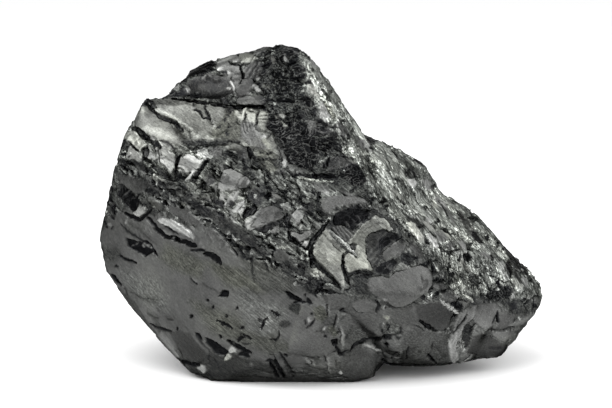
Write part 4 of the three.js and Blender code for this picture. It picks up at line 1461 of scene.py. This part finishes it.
@dataclass(frozen=True)
class ChipScatter:
    """Loose-edged chips that stand on the broken stretches, scattered by a node tree.

    Sizes are in metres and the density is chips to a square metre.
    """

    density: float = 40000.0
    smallest: Triple = (0.0006, 0.0004, 0.0002)
    largest: Triple = (0.0022, 0.0014, 0.0007)
    seed: int = 11
    rough_places: str = "crumble"

    def tree(self) -> bpy.types.NodeTree:
        """Builds the tree that puts the chips on a mesh.

        Returns:
            The tree, with its sizes as named inputs.
        """
        tree = bpy.data.node_groups.new("coal_chips", "GeometryNodeTree")
        for name, kind in (("Geometry", "Geometry"), ("Density", "Float"), ("Smallest", "Vector"),
                           ("Largest", "Vector"), ("Seed", "Int"), ("Material", "Material")):
            tree.interface.new_socket(name, in_out="INPUT", socket_type="NodeSocket" + kind)
        tree.interface.new_socket("Geometry", in_out="OUTPUT", socket_type="NodeSocketGeometry")

        def node(kind: str, **settings: object) -> bpy.types.Node:
            """Adds a node.

            Args:
                kind: the node's type.
                settings: its properties.

            Returns:
                The node.
            """
            made = tree.nodes.new(kind)
            for name, value in settings.items():
                setattr(made, name, value)
            return made

        source = node("NodeGroupInput")
        sink = node("NodeGroupOutput")
        places = node("GeometryNodeInputNamedAttribute", data_type="FLOAT")
        places.inputs["Name"].default_value = self.rough_places
        spread = node("ShaderNodeMath", operation="MULTIPLY")
        points = node("GeometryNodeDistributePointsOnFaces", distribute_method="RANDOM")
        chip = node("GeometryNodeMeshIcoSphere")
        chip.inputs["Radius"].default_value = 1.0
        chip.inputs["Subdivisions"].default_value = 1
        size = node("FunctionNodeRandomValue", data_type="FLOAT_VECTOR")
        spin = node("FunctionNodeRandomValue", data_type="FLOAT_VECTOR")
        spin.inputs["Min"].default_value = (-0.35, -0.35, -math.pi)
        spin.inputs["Max"].default_value = (0.35, 0.35, math.pi)
        turned = node("FunctionNodeRotateRotation", rotation_space="LOCAL")
        put = node("GeometryNodeInstanceOnPoints")
        real = node("GeometryNodeRealizeInstances")
        both = node("GeometryNodeJoinGeometry")
        dress = node("GeometryNodeSetMaterial")
        for start, output, end, socket in (
            (source, "Geometry", points, "Mesh"),
            (places, "Attribute", spread, 0),
            (source, "Density", spread, 1),
            (spread, 0, points, "Density"),
            (source, "Seed", points, "Seed"),
            (source, "Smallest", size, "Min"),
            (source, "Largest", size, "Max"),
            (source, "Seed", size, "Seed"),
            (source, "Seed", spin, "Seed"),
            (points, "Points", put, "Points"),
            (chip, "Mesh", put, "Instance"),
            (points, "Rotation", turned, "Rotation"),
            (spin, "Value", turned, "Rotate By"),
            (turned, "Rotation", put, "Rotation"),
            (size, "Value", put, "Scale"),
            (put, "Instances", real, "Geometry"),
            (real, "Geometry", both, "Geometry"),
            (source, "Geometry", both, "Geometry"),
            (both, "Geometry", dress, "Geometry"),
            (source, "Material", dress, "Material"),
            (dress, "Geometry", sink, "Geometry"),
        ):
            tree.links.new(start.outputs[output], end.inputs[socket])
        return tree

    def grow(self, piece: bpy.types.Object, material: bpy.types.Material) -> None:
        """Scatters the chips over a piece and makes them part of its mesh.

        Args:
            piece: a mesh with the attribute that says how broken each place is.
            material: what the piece and the chips are made of.
        """
        modifier = piece.modifiers.new("chips", "NODES")
        modifier.node_group = self.tree()
        values = {"Density": self.density, "Smallest": self.smallest, "Largest": self.largest,
                  "Seed": self.seed, "Material": material}
        for socket in modifier.node_group.interface.items_tree:
            if socket.in_out == "INPUT" and socket.name in values:
                modifier[socket.identifier] = values[socket.name]
        settle(piece)


def settle(piece: bpy.types.Object) -> None:
    """Turns a piece with modifiers into the plain mesh that they make.

    Args:
        piece: what gets the new mesh.
    """
    graph = bpy.context.evaluated_depsgraph_get()
    made = bpy.data.meshes.new_from_object(piece.evaluated_get(graph))
    piece.modifiers.clear()
    old = piece.data
    piece.data = made
    bpy.data.meshes.remove(old)


def numbers(collection: bpy.types.bpy_prop_collection, name: str, width: int = 3,
            kind: type = np.float32) -> np.ndarray:
    """Reads one property of every item.

    Args:
        collection: the items, such as a mesh's points.
        name: the property.
        width: how many numbers it has.
        kind: the type of the numbers.

    Returns:
        The numbers, one item a row.
    """
    values = np.empty(len(collection) * width, kind)
    collection.foreach_get(name, values)
    return values.reshape(-1, width) if width > 1 else values


@dataclass
class CoalLump:
    """The stone itself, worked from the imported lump's plain fracture faces.

    Lengths are in millimetres.
    """

    grid: float = 0.3
    coarse_grid: float = 1.2
    drift_length: float = 26.0
    smoothing: int = 10
    triangles: int = 195000
    detail_weight: float = 1e-5
    sharp_edge: float = math.radians(24.0)
    flat_spot: tuple[float, float] = (0.05, 1.5)
    scatter: ChipScatter = ChipScatter()

    def build(self, material: bpy.types.Material) -> bpy.types.Object:
        """Makes the finished piece.

        Args:
            material: the coal's finish.

        Returns:
            The piece, in place.
        """
        piece = self.plain_faces()
        self.mark_rough_places(piece)
        self.scatter.grow(piece, material)
        self.remesh(piece, self.grid)
        surface = self.surface_of(piece)
        self.break_faces(surface)
        self.shape(piece, surface)
        self.thin_out(piece, surface)
        self.paint(piece, surface)
        return piece

    def plain_faces(self) -> bpy.types.Object:
        """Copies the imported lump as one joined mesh.

        Returns:
            The copy, as a piece of its own.
        """
        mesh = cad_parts[CAD_NODE].data.copy()
        work = bmesh.new()
        work.from_mesh(mesh)
        bmesh.ops.remove_doubles(work, verts=work.verts, dist=1e-6)
        work.to_mesh(mesh)
        work.free()
        piece = bpy.data.objects.new("anthracite_lump", mesh)
        bpy.context.scene.collection.objects.link(piece)
        return piece

    @staticmethod
    def remesh(piece: bpy.types.Object, grid: float) -> None:
        """Covers the piece with an even grid.

        Args:
            piece: what is covered.
            grid: the grid's step.
        """
        modifier = piece.modifiers.new("grid", "REMESH")
        modifier.mode = "VOXEL"
        modifier.voxel_size = grid * MM
        settle(piece)

    def mark_rough_places(self, piece: bpy.types.Object) -> None:
        """Gives the mesh the attribute that says how broken each place is.

        Args:
            piece: the plain piece.
        """
        self.remesh(piece, self.coarse_grid)
        surface = self.surface_of(piece)
        parts = self.zone_values(surface)
        crumble = ramp(parts["contrast"], 0.3, 0.9) * (1.0 - parts["slope"])
        attribute = piece.data.attributes.new(self.scatter.rough_places, "FLOAT", "POINT")
        attribute.data.foreach_set("value", crumble.astype(np.float32))

    def surface_of(self, piece: bpy.types.Object) -> Surface:
        """Reads the piece's points, with normals that even out over a few grid steps.

        Args:
            piece: the covered piece.

        Returns:
            Its surface, ready to be worked on.
        """
        mesh = piece.data
        points = numbers(mesh.vertices, "co") / MM
        normals = numbers(mesh.vertices, "normal")
        ends = numbers(mesh.edges, "vertices", 2, np.int32)
        for _ in range(self.smoothing):
            total = normals.copy()
            for axis in range(3):
                for a, b in ((0, 1), (1, 0)):
                    total[:, axis] += np.bincount(ends[:, a], normals[ends[:, b], axis], len(points))
            normals = total / np.linalg.norm(total, axis=1, keepdims=True)
        return Surface(points, normals.astype(np.float32))

    def zone_values(self, surface: Surface) -> dict[str, np.ndarray]:
        """Works out how each place broke: from the zones in view, and by chance elsewhere.

        Args:
            surface: what is worked on.

        Returns:
            The zones' values at each place, by name.
        """
        drift = Noise.soft(surface.points / self.drift_length, Seed.BROKEN, 2) + 0.15
        rough = ramp(drift, -0.12, 0.3)
        parts = {name: blend(smooth, broken, rough) for name, (smooth, broken) in ELSEWHERE.items()}
        for side in SIDES:
            surface.look(side.view)
            seen = ramp(surface.facing, -0.05, 0.12)
            for zone in side.zones:
                depth = depth_inside(surface.across, surface.down, shapes(zone.outline)[0])
                share = ramp(depth, -zone.softness, zone.softness) * seen
                for key, values in parts.items():
                    target = math.log(zone.reflectance) if key == "reflectance" else getattr(zone, key)
                    parts[key] = blend(values, target, share)
        return parts

    def break_faces(self, surface: Surface) -> None:
        """Breaks the plain faces up: chips and grit first, then every feature in its place.

        Args:
            surface: what is worked on.
        """
        parts = self.zone_values(surface)
        tone = np.zeros(len(surface.points), np.float32)
        height = np.zeros(len(surface.points), np.float32)
        for grain, share in ((Grain.BEDS, 1.0 - parts["slope"]), (Grain.SLOPE, parts["slope"])):
            used = np.nonzero(share > 0.01)[0]
            lift, shine = self.broken(surface.points[used], grain, {k: v[used] for k, v in parts.items()})
            height[used] += share[used] * lift
            tone[used] += share[used] * shine
        surface.height = height
        surface.tone = parts["reflectance"] + tone
        for name in ("warmth", "roughness", "slope", "scratches"):
            setattr(surface, name, parts[name])
        surface.crispness = np.clip(parts["contrast"] * 1.5 - 0.1, 0.0, 1.0)
        for side in SIDES:
            surface.look(side.view)
            for feature in side.features:
                feature.carve(surface)

    @staticmethod
    def broken(places: np.ndarray, grain: Grain, parts: dict[str, np.ndarray]) -> tuple[np.ndarray, ...]:
        """Breaks the stone into plates along its grain, plates into flakes, and flakes into grit.

        Args:
            places: points in millimetres, one a row.
            grain: the way that the stone splits here.
            parts: how each place broke.

        Returns:
            The points' heights in millimetres, and their brightness as a logarithm. The weights
            of the parts that they are made of were set.
        """
        thin = 0.7 if grain is Grain.SLOPE else 1.0
        plates, flakes, grit = (
            Noise.cells(grain.turned(places, (long, cross * thin, through * thin)), seed)
            for (long, cross, through), seed in BROKEN_SIZES)
        streaks = Noise.soft(grain.turned(places, (5.0 / thin, 0.6, 0.6)), Seed.STREAKS, 2)
        crowd = ramp(Noise.soft(places / 6.0, Seed.CROWD, 2) + parts["busy"] - 0.5, -0.2, 0.3)
        height = parts["chips"] * (plates.facet() + (0.2 + 0.5 * crowd) * flakes.facet())
        height += parts["grit"] * (crowd * grit.facet(0.8) + 0.3 * streaks)
        tone = 1.1 * (plates.chance() - 0.5) + (0.3 + 0.9 * crowd) * (flakes.chance() - 0.5)
        tone += 0.9 * crowd * (grit.chance() - 0.5) + 0.8 * streaks
        # Painted shading: each plate is painted brighter towards one fixed side, as if lit from there.
        tone += 0.5 * (plates.offset * unit((0.6, -0.5, 0.6))).sum(axis=1)
        tone = parts["contrast"] * 1.5 * tone
        gaps = ramp(0.16 - plates.border, 0.0, 0.12) * (plates.chance(1) > 0.35)
        gaps = np.maximum(gaps, crowd * ramp(0.2 - flakes.border, 0.0, 0.15) * (flakes.chance(1) > 0.6))
        tone -= parts["cracks"] * 1.5 * gaps
        height -= parts["chips"] * 0.5 * gaps
        # Painted glints: single flakes and grains painted bright, as highlights that they catch.
        painted_sparkle = (flakes.chance(2) > 0.93) * 0.8 + (grit.chance(2) > 0.95) * (0.4 + 0.8 * crowd)
        tone += parts["painted_glints"] * 1.3 * painted_sparkle * (1.0 - gaps)
        return height, tone

    def shape(self, piece: bpy.types.Object, surface: Surface) -> None:
        """Moves the piece's points to their heights, and keeps the flat spot that it rests on.

        Args:
            piece: the covered piece.
            surface: the surface that was worked on.
        """
        grounded = ramp(surface.points[:, 2], *self.flat_spot)
        height = np.where(surface.normals[:, 2] < -0.5, surface.height * grounded, surface.height)
        shaped = surface.points + surface.normals * height[:, None]
        low, high = (np.array(corner) / MM for corner in CAD_BOX)
        shaped = np.clip(shaped, low, high)
        surface.points = shaped.astype(np.float32)
        piece.data.vertices.foreach_set("co", (surface.points * MM).ravel())
        piece.data.update()

    def thin_out(self, piece: bpy.types.Object, surface: Surface) -> None:
        """Joins triangles, down to the number that is kept: fewest of them where the marks are fine.

        Args:
            piece: the shaped piece.
            surface: the surface that was worked on.
        """
        mesh = piece.data
        change = np.zeros(len(mesh.vertices), np.float32)
        ends = numbers(mesh.edges, "vertices", 2, np.int32)
        steps = np.abs(surface.tone[ends[:, 0]] - surface.tone[ends[:, 1]])
        for side in (0, 1):
            np.maximum.at(change, ends[:, side], steps)
        detail = 0.3 + 0.35 * ramp(surface.facing, -0.1, 0.2) + 0.3 * ramp(change, 0.05, 0.5)
        levels = np.round(detail * DETAIL_LEVELS).astype(int)
        group = piece.vertex_groups.new(name="kept_detail")
        for level in np.unique(levels):
            wanted = np.nonzero(levels == level)[0].tolist()
            group.add(wanted, 1.0 - float(level) / DETAIL_LEVELS, "REPLACE")
        mesh.calc_loop_triangles()
        modifier = piece.modifiers.new("thin", "DECIMATE")
        modifier.ratio = min(1.0, self.triangles / len(mesh.loop_triangles))
        modifier.use_collapse_triangulate = True
        modifier.vertex_group = group.name
        modifier.vertex_group_factor = self.detail_weight
        settle(piece)

    def paint(self, piece: bpy.types.Object, surface: Surface) -> None:
        """Gives the piece's corners their brightness, warmth, roughness and lines.

        Args:
            piece: the thinned piece.
            surface: the surface that was worked on.
        """
        mesh = piece.data
        points = numbers(mesh.vertices, "co") / MM
        corners = numbers(mesh.loops, "vertex_index", 1, np.int32)
        faces = points[corners].reshape(-1, 3, 3).mean(axis=1)
        from_points = nearest(surface.points, points)[corners]
        from_faces = np.repeat(nearest(surface.points, faces), 3)
        crisp = ramp(surface.crispness[from_faces], 0.1, 0.6)
        # The brightness carries the stone's own tone and the painted light and shade of the marks.
        values = np.ones((len(corners), 4), np.float32)
        for column, source in enumerate((np.exp(surface.tone), surface.warmth, surface.roughness)):
            values[:, column] = blend(source[from_points], source[from_faces], crisp)
        values[:, 3] = surface.crispness[from_points]
        lines = values.copy()
        lines[:, 0] = surface.slope[from_points]
        lines[:, 1] = surface.scratches[from_points]
        for name, colours in (("finish_with_painted_light", values), ("lines", lines)):
            attribute = mesh.attributes.new(name, "FLOAT_COLOR", "CORNER")
            attribute.data.foreach_set("color", colours.ravel())
        mesh.polygons.foreach_set("use_smooth", np.ones(len(mesh.polygons), bool))
        mesh.set_sharp_from_angle(angle=self.sharp_edge)


def nearest(known: np.ndarray, wanted: np.ndarray) -> np.ndarray:
    """Finds the nearest points.

    Args:
        known: the points to choose from.
        wanted: the points that each get one.

    Returns:
        The number of the known point that is nearest to each wanted one.
    """
    tree = KDTree(len(known))
    for number, point in enumerate(known.tolist()):
        tree.insert(point, number)
    tree.balance()
    return np.array([tree.find(point)[1] for point in wanted.tolist()], np.int64)


class Graph:
    """A material's nodes, added one at a time."""

    def __init__(self, name: str) -> None:
        """Starts a new material with an empty tree.

        Args:
            name: the material's name.
        """
        self.material = bpy.data.materials.new(name)
        self.material.use_nodes = True
        self.tree = self.material.node_tree
        self.tree.nodes.clear()

    def node(self, kind: str, settings: dict[str, object] | None = None, **sockets: object) -> bpy.types.Node:
        """Adds a node.

        Args:
            kind: the node's type.
            settings: its properties, such as a Math node's operation.
            sockets: its sockets' values or links, by name with spaces as underscores.

        Returns:
            The node.
        """
        made = self.tree.nodes.new(kind)
        for name, value in (settings or {}).items():
            setattr(made, name, value)
        for name, value in sockets.items():
            self.feed(made.inputs[name.replace("_", " ")], value)
        return made

    def feed(self, socket: bpy.types.NodeSocket, value: object) -> None:
        """Links a socket to a wire, or sets its value.

        Args:
            socket: an input of one of the nodes.
            value: the wire or the value.
        """
        if isinstance(value, Wire):
            self.tree.links.new(value.socket, socket)
        else:
            socket.default_value = value

    def wire(self, kind: str, output: str, settings: dict[str, object] | None = None,
             **sockets: object) -> "Wire":
        """Adds a node, as above, and returns the output of that name."""
        return Wire(self, self.node(kind, settings, **sockets).outputs[output])

    def mix(self, share: object, low: object, high: object, blend_type: str = "MIX") -> "Wire":
        """Mixes two colours.

        Args:
            share: how much of the second colour there is, from 0 to 1.
            low, high: the first and the second colour.
            blend_type: how they are mixed.

        Returns:
            The mixed colour.
        """
        made = self.node("ShaderNodeMix", {"data_type": "RGBA", "blend_type": blend_type})
        for number, value in ((0, share), (6, low), (7, high)):
            self.feed(made.inputs[number], value)
        return Wire(self, made.outputs[2])


@dataclass(frozen=True)
class Wire:
    """A socket that carries a number, with arithmetic as Math nodes."""

    graph: Graph
    socket: bpy.types.NodeSocket

    def math(self, operation: str, *values: object, clamp: bool = False) -> "Wire":
        """Adds a Math node.

        Args:
            operation: what the node does.
            values: the numbers that follow this one.
            clamp: whether the result is kept between 0 and 1.

        Returns:
            The result.
        """
        made = self.graph.node("ShaderNodeMath", {"operation": operation, "use_clamp": clamp})
        for number, value in enumerate((self, *values)):
            self.graph.feed(made.inputs[number], value)
        return Wire(self.graph, made.outputs[0])

    def __add__(self, other: object) -> "Wire":
        """This number plus another."""
        return self.math("ADD", other)

    __radd__ = __add__

    def __sub__(self, other: object) -> "Wire":
        """This number less another."""
        return self.math("SUBTRACT", other)

    def __rsub__(self, other: float) -> "Wire":
        """A plain number less this one."""
        return self.math("MULTIPLY", -1.0).math("ADD", other)

    def __mul__(self, other: object) -> "Wire":
        """This number times another."""
        return self.math("MULTIPLY", other)

    __rmul__ = __mul__

    def clamped(self) -> "Wire":
        """This number kept between 0 and 1."""
        return self.math("ADD", 0.0, clamp=True)


@dataclass(frozen=True)
class CoalFinish:
    """Anthracite's half-metallic lustre, with fibres along its grain and hair-thin scratches.

    Scales are waves to a metre, and fibre sizes are millimetres along, across and through the grain.
    Swings are how much each pattern changes the brightness, as a logarithm: the fibres' on broken
    stone, on the long slope and everywhere, and the speckles' on broken stone and everywhere.
    """

    name: str = "anthracite"
    metallic: float = 0.98
    edge_shine: float = 0.3
    dulling: float = 0.6
    smooth_tint: Colour = (0.99, 1.0, 0.975, 1.0)
    broken_tint: Colour = (0.955, 1.0, 0.935, 1.0)
    gold_tint: Colour = (0.97, 1.0, 0.86, 1.0)
    black_tint: Colour = (0.95, 1.0, 1.1, 1.0)
    speckle_scale: float = 2600.0
    cloud_scale: float = 110.0
    hair_scale: float = 300.0
    hair_shine: float = 0.1
    hair_depth: float = 0.6
    fibre_swing: Triple = (3.4, 1.6, 0.5)
    speckle_swing: tuple[float, float] = (0.8, 0.45)
    cloud_swing: float = 0.5
    swing: float = 1.6
    darkest: float = 0.003
    bed_fibre: Triple = (2.4, 0.5, 0.3)
    slope_fibre: Triple = (2.8, 0.45, 0.35)
    bump_height: float = 0.00015

    @staticmethod
    def corner_values(graph: Graph, attribute: str) -> list[Wire]:
        """Reads the four numbers that one of the piece's attributes has at each corner.

        Args:
            graph: the material's nodes.
            attribute: its name.

        Returns:
            The numbers.
        """
        source = graph.node("ShaderNodeAttribute", {"attribute_name": attribute})
        parts = graph.node("ShaderNodeSeparateColor", Color=Wire(graph, source.outputs["Color"]))
        return [Wire(graph, socket) for socket in (*parts.outputs, source.outputs["Alpha"])]

    def fibres(self, graph: Graph, place: Wire, grain: Grain, size: Triple) -> Wire:
        """Makes noise that is drawn out along the grain.

        Args:
            graph: the material's nodes.
            place: the place on the piece.
            grain: the direction of the fibres.
            size: their length, width and thickness in millimetres.

        Returns:
            The noise, from 0 to 1.
        """
        turned = graph.node("ShaderNodeCombineXYZ")
        for socket, axis, length in zip(turned.inputs, grain.value, size):
            part = graph.node("ShaderNodeVectorMath", {"operation": "DOT_PRODUCT"})
            graph.feed(part.inputs[0], place)
            graph.feed(part.inputs[1], tuple(unit(axis) / (length * MM)))
            graph.feed(socket, Wire(graph, part.outputs["Value"]))
        return graph.wire("ShaderNodeTexNoise", "Fac", Vector=Wire(graph, turned.outputs[0]), Scale=1.0,
                          Detail=3.0, Roughness=0.65, Distortion=0.3)

    def hairs(self, graph: Graph, place: Wire, scale: float, width: float) -> Wire:
        """Makes thin curling lines.

        Args:
            graph: the material's nodes.
            place: the place on the piece.
            scale: waves to a metre.
            width: how broad the lines are, as a share of a wave.

        Returns:
            1 on a line and 0 beside it.
        """
        waves = graph.wire("ShaderNodeTexNoise", "Fac", Vector=place, Scale=scale, Detail=2.5, Roughness=0.6,
                           Distortion=1.6)
        return 1.0 - (waves - 0.5).math("ABSOLUTE").math("MULTIPLY", 1.0 / width, clamp=True)

    def material(self) -> bpy.types.Material:
        """Builds the material.

        Returns:
            The material, which reads the piece's own corner values.
        """
        graph = Graph(self.name)
        out = graph.node("ShaderNodeOutputMaterial")
        tone, warmth, rough, crisp = self.corner_values(graph, "finish_with_painted_light")
        slope, scratches, *_ = self.corner_values(graph, "lines")
        place = graph.wire("ShaderNodeTexCoord", "Object")
        speckle = graph.wire("ShaderNodeTexNoise", "Fac", Vector=place, Scale=self.speckle_scale, Detail=1.0)
        cloud = graph.wire("ShaderNodeTexNoise", "Fac", Vector=place, Scale=self.cloud_scale, Detail=3.0)
        beds = self.fibres(graph, place, Grain.BEDS, self.bed_fibre)
        steep = self.fibres(graph, place, Grain.SLOPE, self.slope_fibre)
        fibre = beds + (steep - beds) * slope
        light_hair = self.hairs(graph, place, self.hair_scale, 0.025).math(
            "MAXIMUM", self.hairs(graph, place, self.hair_scale * 0.6, 0.015))
        dark_hair = self.hairs(graph, place, self.hair_scale * 1.3, 0.03)
        broken, sloping, everywhere = self.fibre_swing
        swing = (fibre - 0.5) * (crisp * broken + slope * sloping + everywhere)
        broken, everywhere = self.speckle_swing
        swing = swing + (speckle - 0.5) * (crisp * broken + everywhere)
        swing = swing + (cloud - 0.5) * self.cloud_swing
        level = tone * (swing * self.swing).math("EXPONENT")
        level = level * (1.0 - dark_hair * crisp * self.hair_depth)
        level = (level + light_hair * scratches * self.hair_shine).math("MAXIMUM", self.darkest)
        level = level.math("DIVIDE", level * self.dulling + 1.0)
        tint = graph.mix(crisp, self.smooth_tint, self.broken_tint)
        tint = graph.mix((warmth + (cloud - 0.5) * 0.9).clamped(), tint, self.gold_tint)
        tint = graph.mix((level * 30.0).clamped(), self.black_tint, tint)
        grey = graph.node("ShaderNodeCombineColor")
        for k in range(3):
            graph.feed(grey.inputs[k], level)
        colour = graph.mix(1.0, Wire(graph, grey.outputs[0]), tint, "MULTIPLY")
        bump = graph.wire("ShaderNodeBump", "Normal", Strength=0.5, Distance=self.bump_height,
                          Height=fibre * (crisp + 0.08) + speckle * 0.15 + light_hair * scratches * 0.3)
        shader = graph.node("ShaderNodeBsdfPrincipled", Base_Color=colour, Metallic=self.metallic,
                            Specular_Tint=(self.edge_shine,) * 3 + (1.0,),
                            Roughness=(rough + (speckle - 0.5) * 0.2).clamped(), Normal=bump)
        graph.feed(out.inputs["Surface"], Wire(graph, shader.outputs["BSDF"]))
        return graph.material


@dataclass(frozen=True)
class Studio:
    """A plain pale floor and plain soft light. Lengths are in metres."""

    floor_radius: float = 30.0
    floor_albedo: float = 0.9
    world_strength: float = 1.1
    softbox: float = 0.9
    key_place: Triple = (-0.35, -0.25, 0.75)
    key_power: float = 6.0
    side_place: Triple = (0.7, -0.3, 0.45)
    side_power: float = 5.0
    aim: Triple = (0.0, 0.0, 0.04)

    def build(self) -> None:
        """Sets up the floor, the lights and the camera."""
        self.make_floor()
        self.make_world()
        self.make_light("key_softbox", self.key_place, self.key_power)
        self.make_light("side_softbox", self.side_place, self.side_power)
        VIEW.make_camera()
        bpy.context.scene.view_settings.view_transform = "Standard"

    def make_floor(self) -> None:
        """Lays the floor that the stone rests on."""
        bpy.ops.mesh.primitive_circle_add(vertices=96, radius=self.floor_radius, fill_type="NGON")
        floor = bpy.context.object
        floor.name = "studio_floor"
        graph = Graph("pale_floor")
        shader = graph.node("ShaderNodeBsdfPrincipled", Base_Color=(self.floor_albedo,) * 3 + (1.0,),
                            Roughness=0.9)
        out = graph.node("ShaderNodeOutputMaterial")
        graph.feed(out.inputs["Surface"], Wire(graph, shader.outputs["BSDF"]))
        floor.data.materials.append(graph.material)

    def make_world(self) -> None:
        """Lights the studio evenly from all round."""
        world = bpy.data.worlds.new("studio_light")
        world.use_nodes = True
        background = world.node_tree.nodes["Background"]
        background.inputs["Color"].default_value = (1.0, 1.0, 1.0, 1.0)
        background.inputs["Strength"].default_value = self.world_strength
        bpy.context.scene.world = world

    def make_light(self, name: str, place: Triple, power: float) -> None:
        """Hangs a square softbox that points at the stone.

        Args:
            name: what it is called.
            place: where its middle is.
            power: its strength in watts.
        """
        data = bpy.data.lights.new(name, "AREA")
        data.size = self.softbox
        data.energy = power
        light = bpy.data.objects.new(name, data)
        bpy.context.scene.collection.objects.link(light)
        light.location = place
        light.rotation_mode = "QUATERNION"
        light.rotation_quaternion = (Vector(self.aim) - Vector(place)).to_track_quat("-Z", "Y")


def main() -> None:
    """Builds the studio and the stone."""
    logging.basicConfig(level=logging.INFO, format="%(message)s")
    Studio().build()
    material = CoalFinish().material()
    lump = CoalLump().build(material)
    lump.data.materials.clear()
    lump.data.materials.append(material)
    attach(lump, BODY)
    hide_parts(CAD_NODE)
    LOG.info("%s: %d triangles", lump.name, len(lump.data.polygons))


if __name__ == "__main__":
    main()
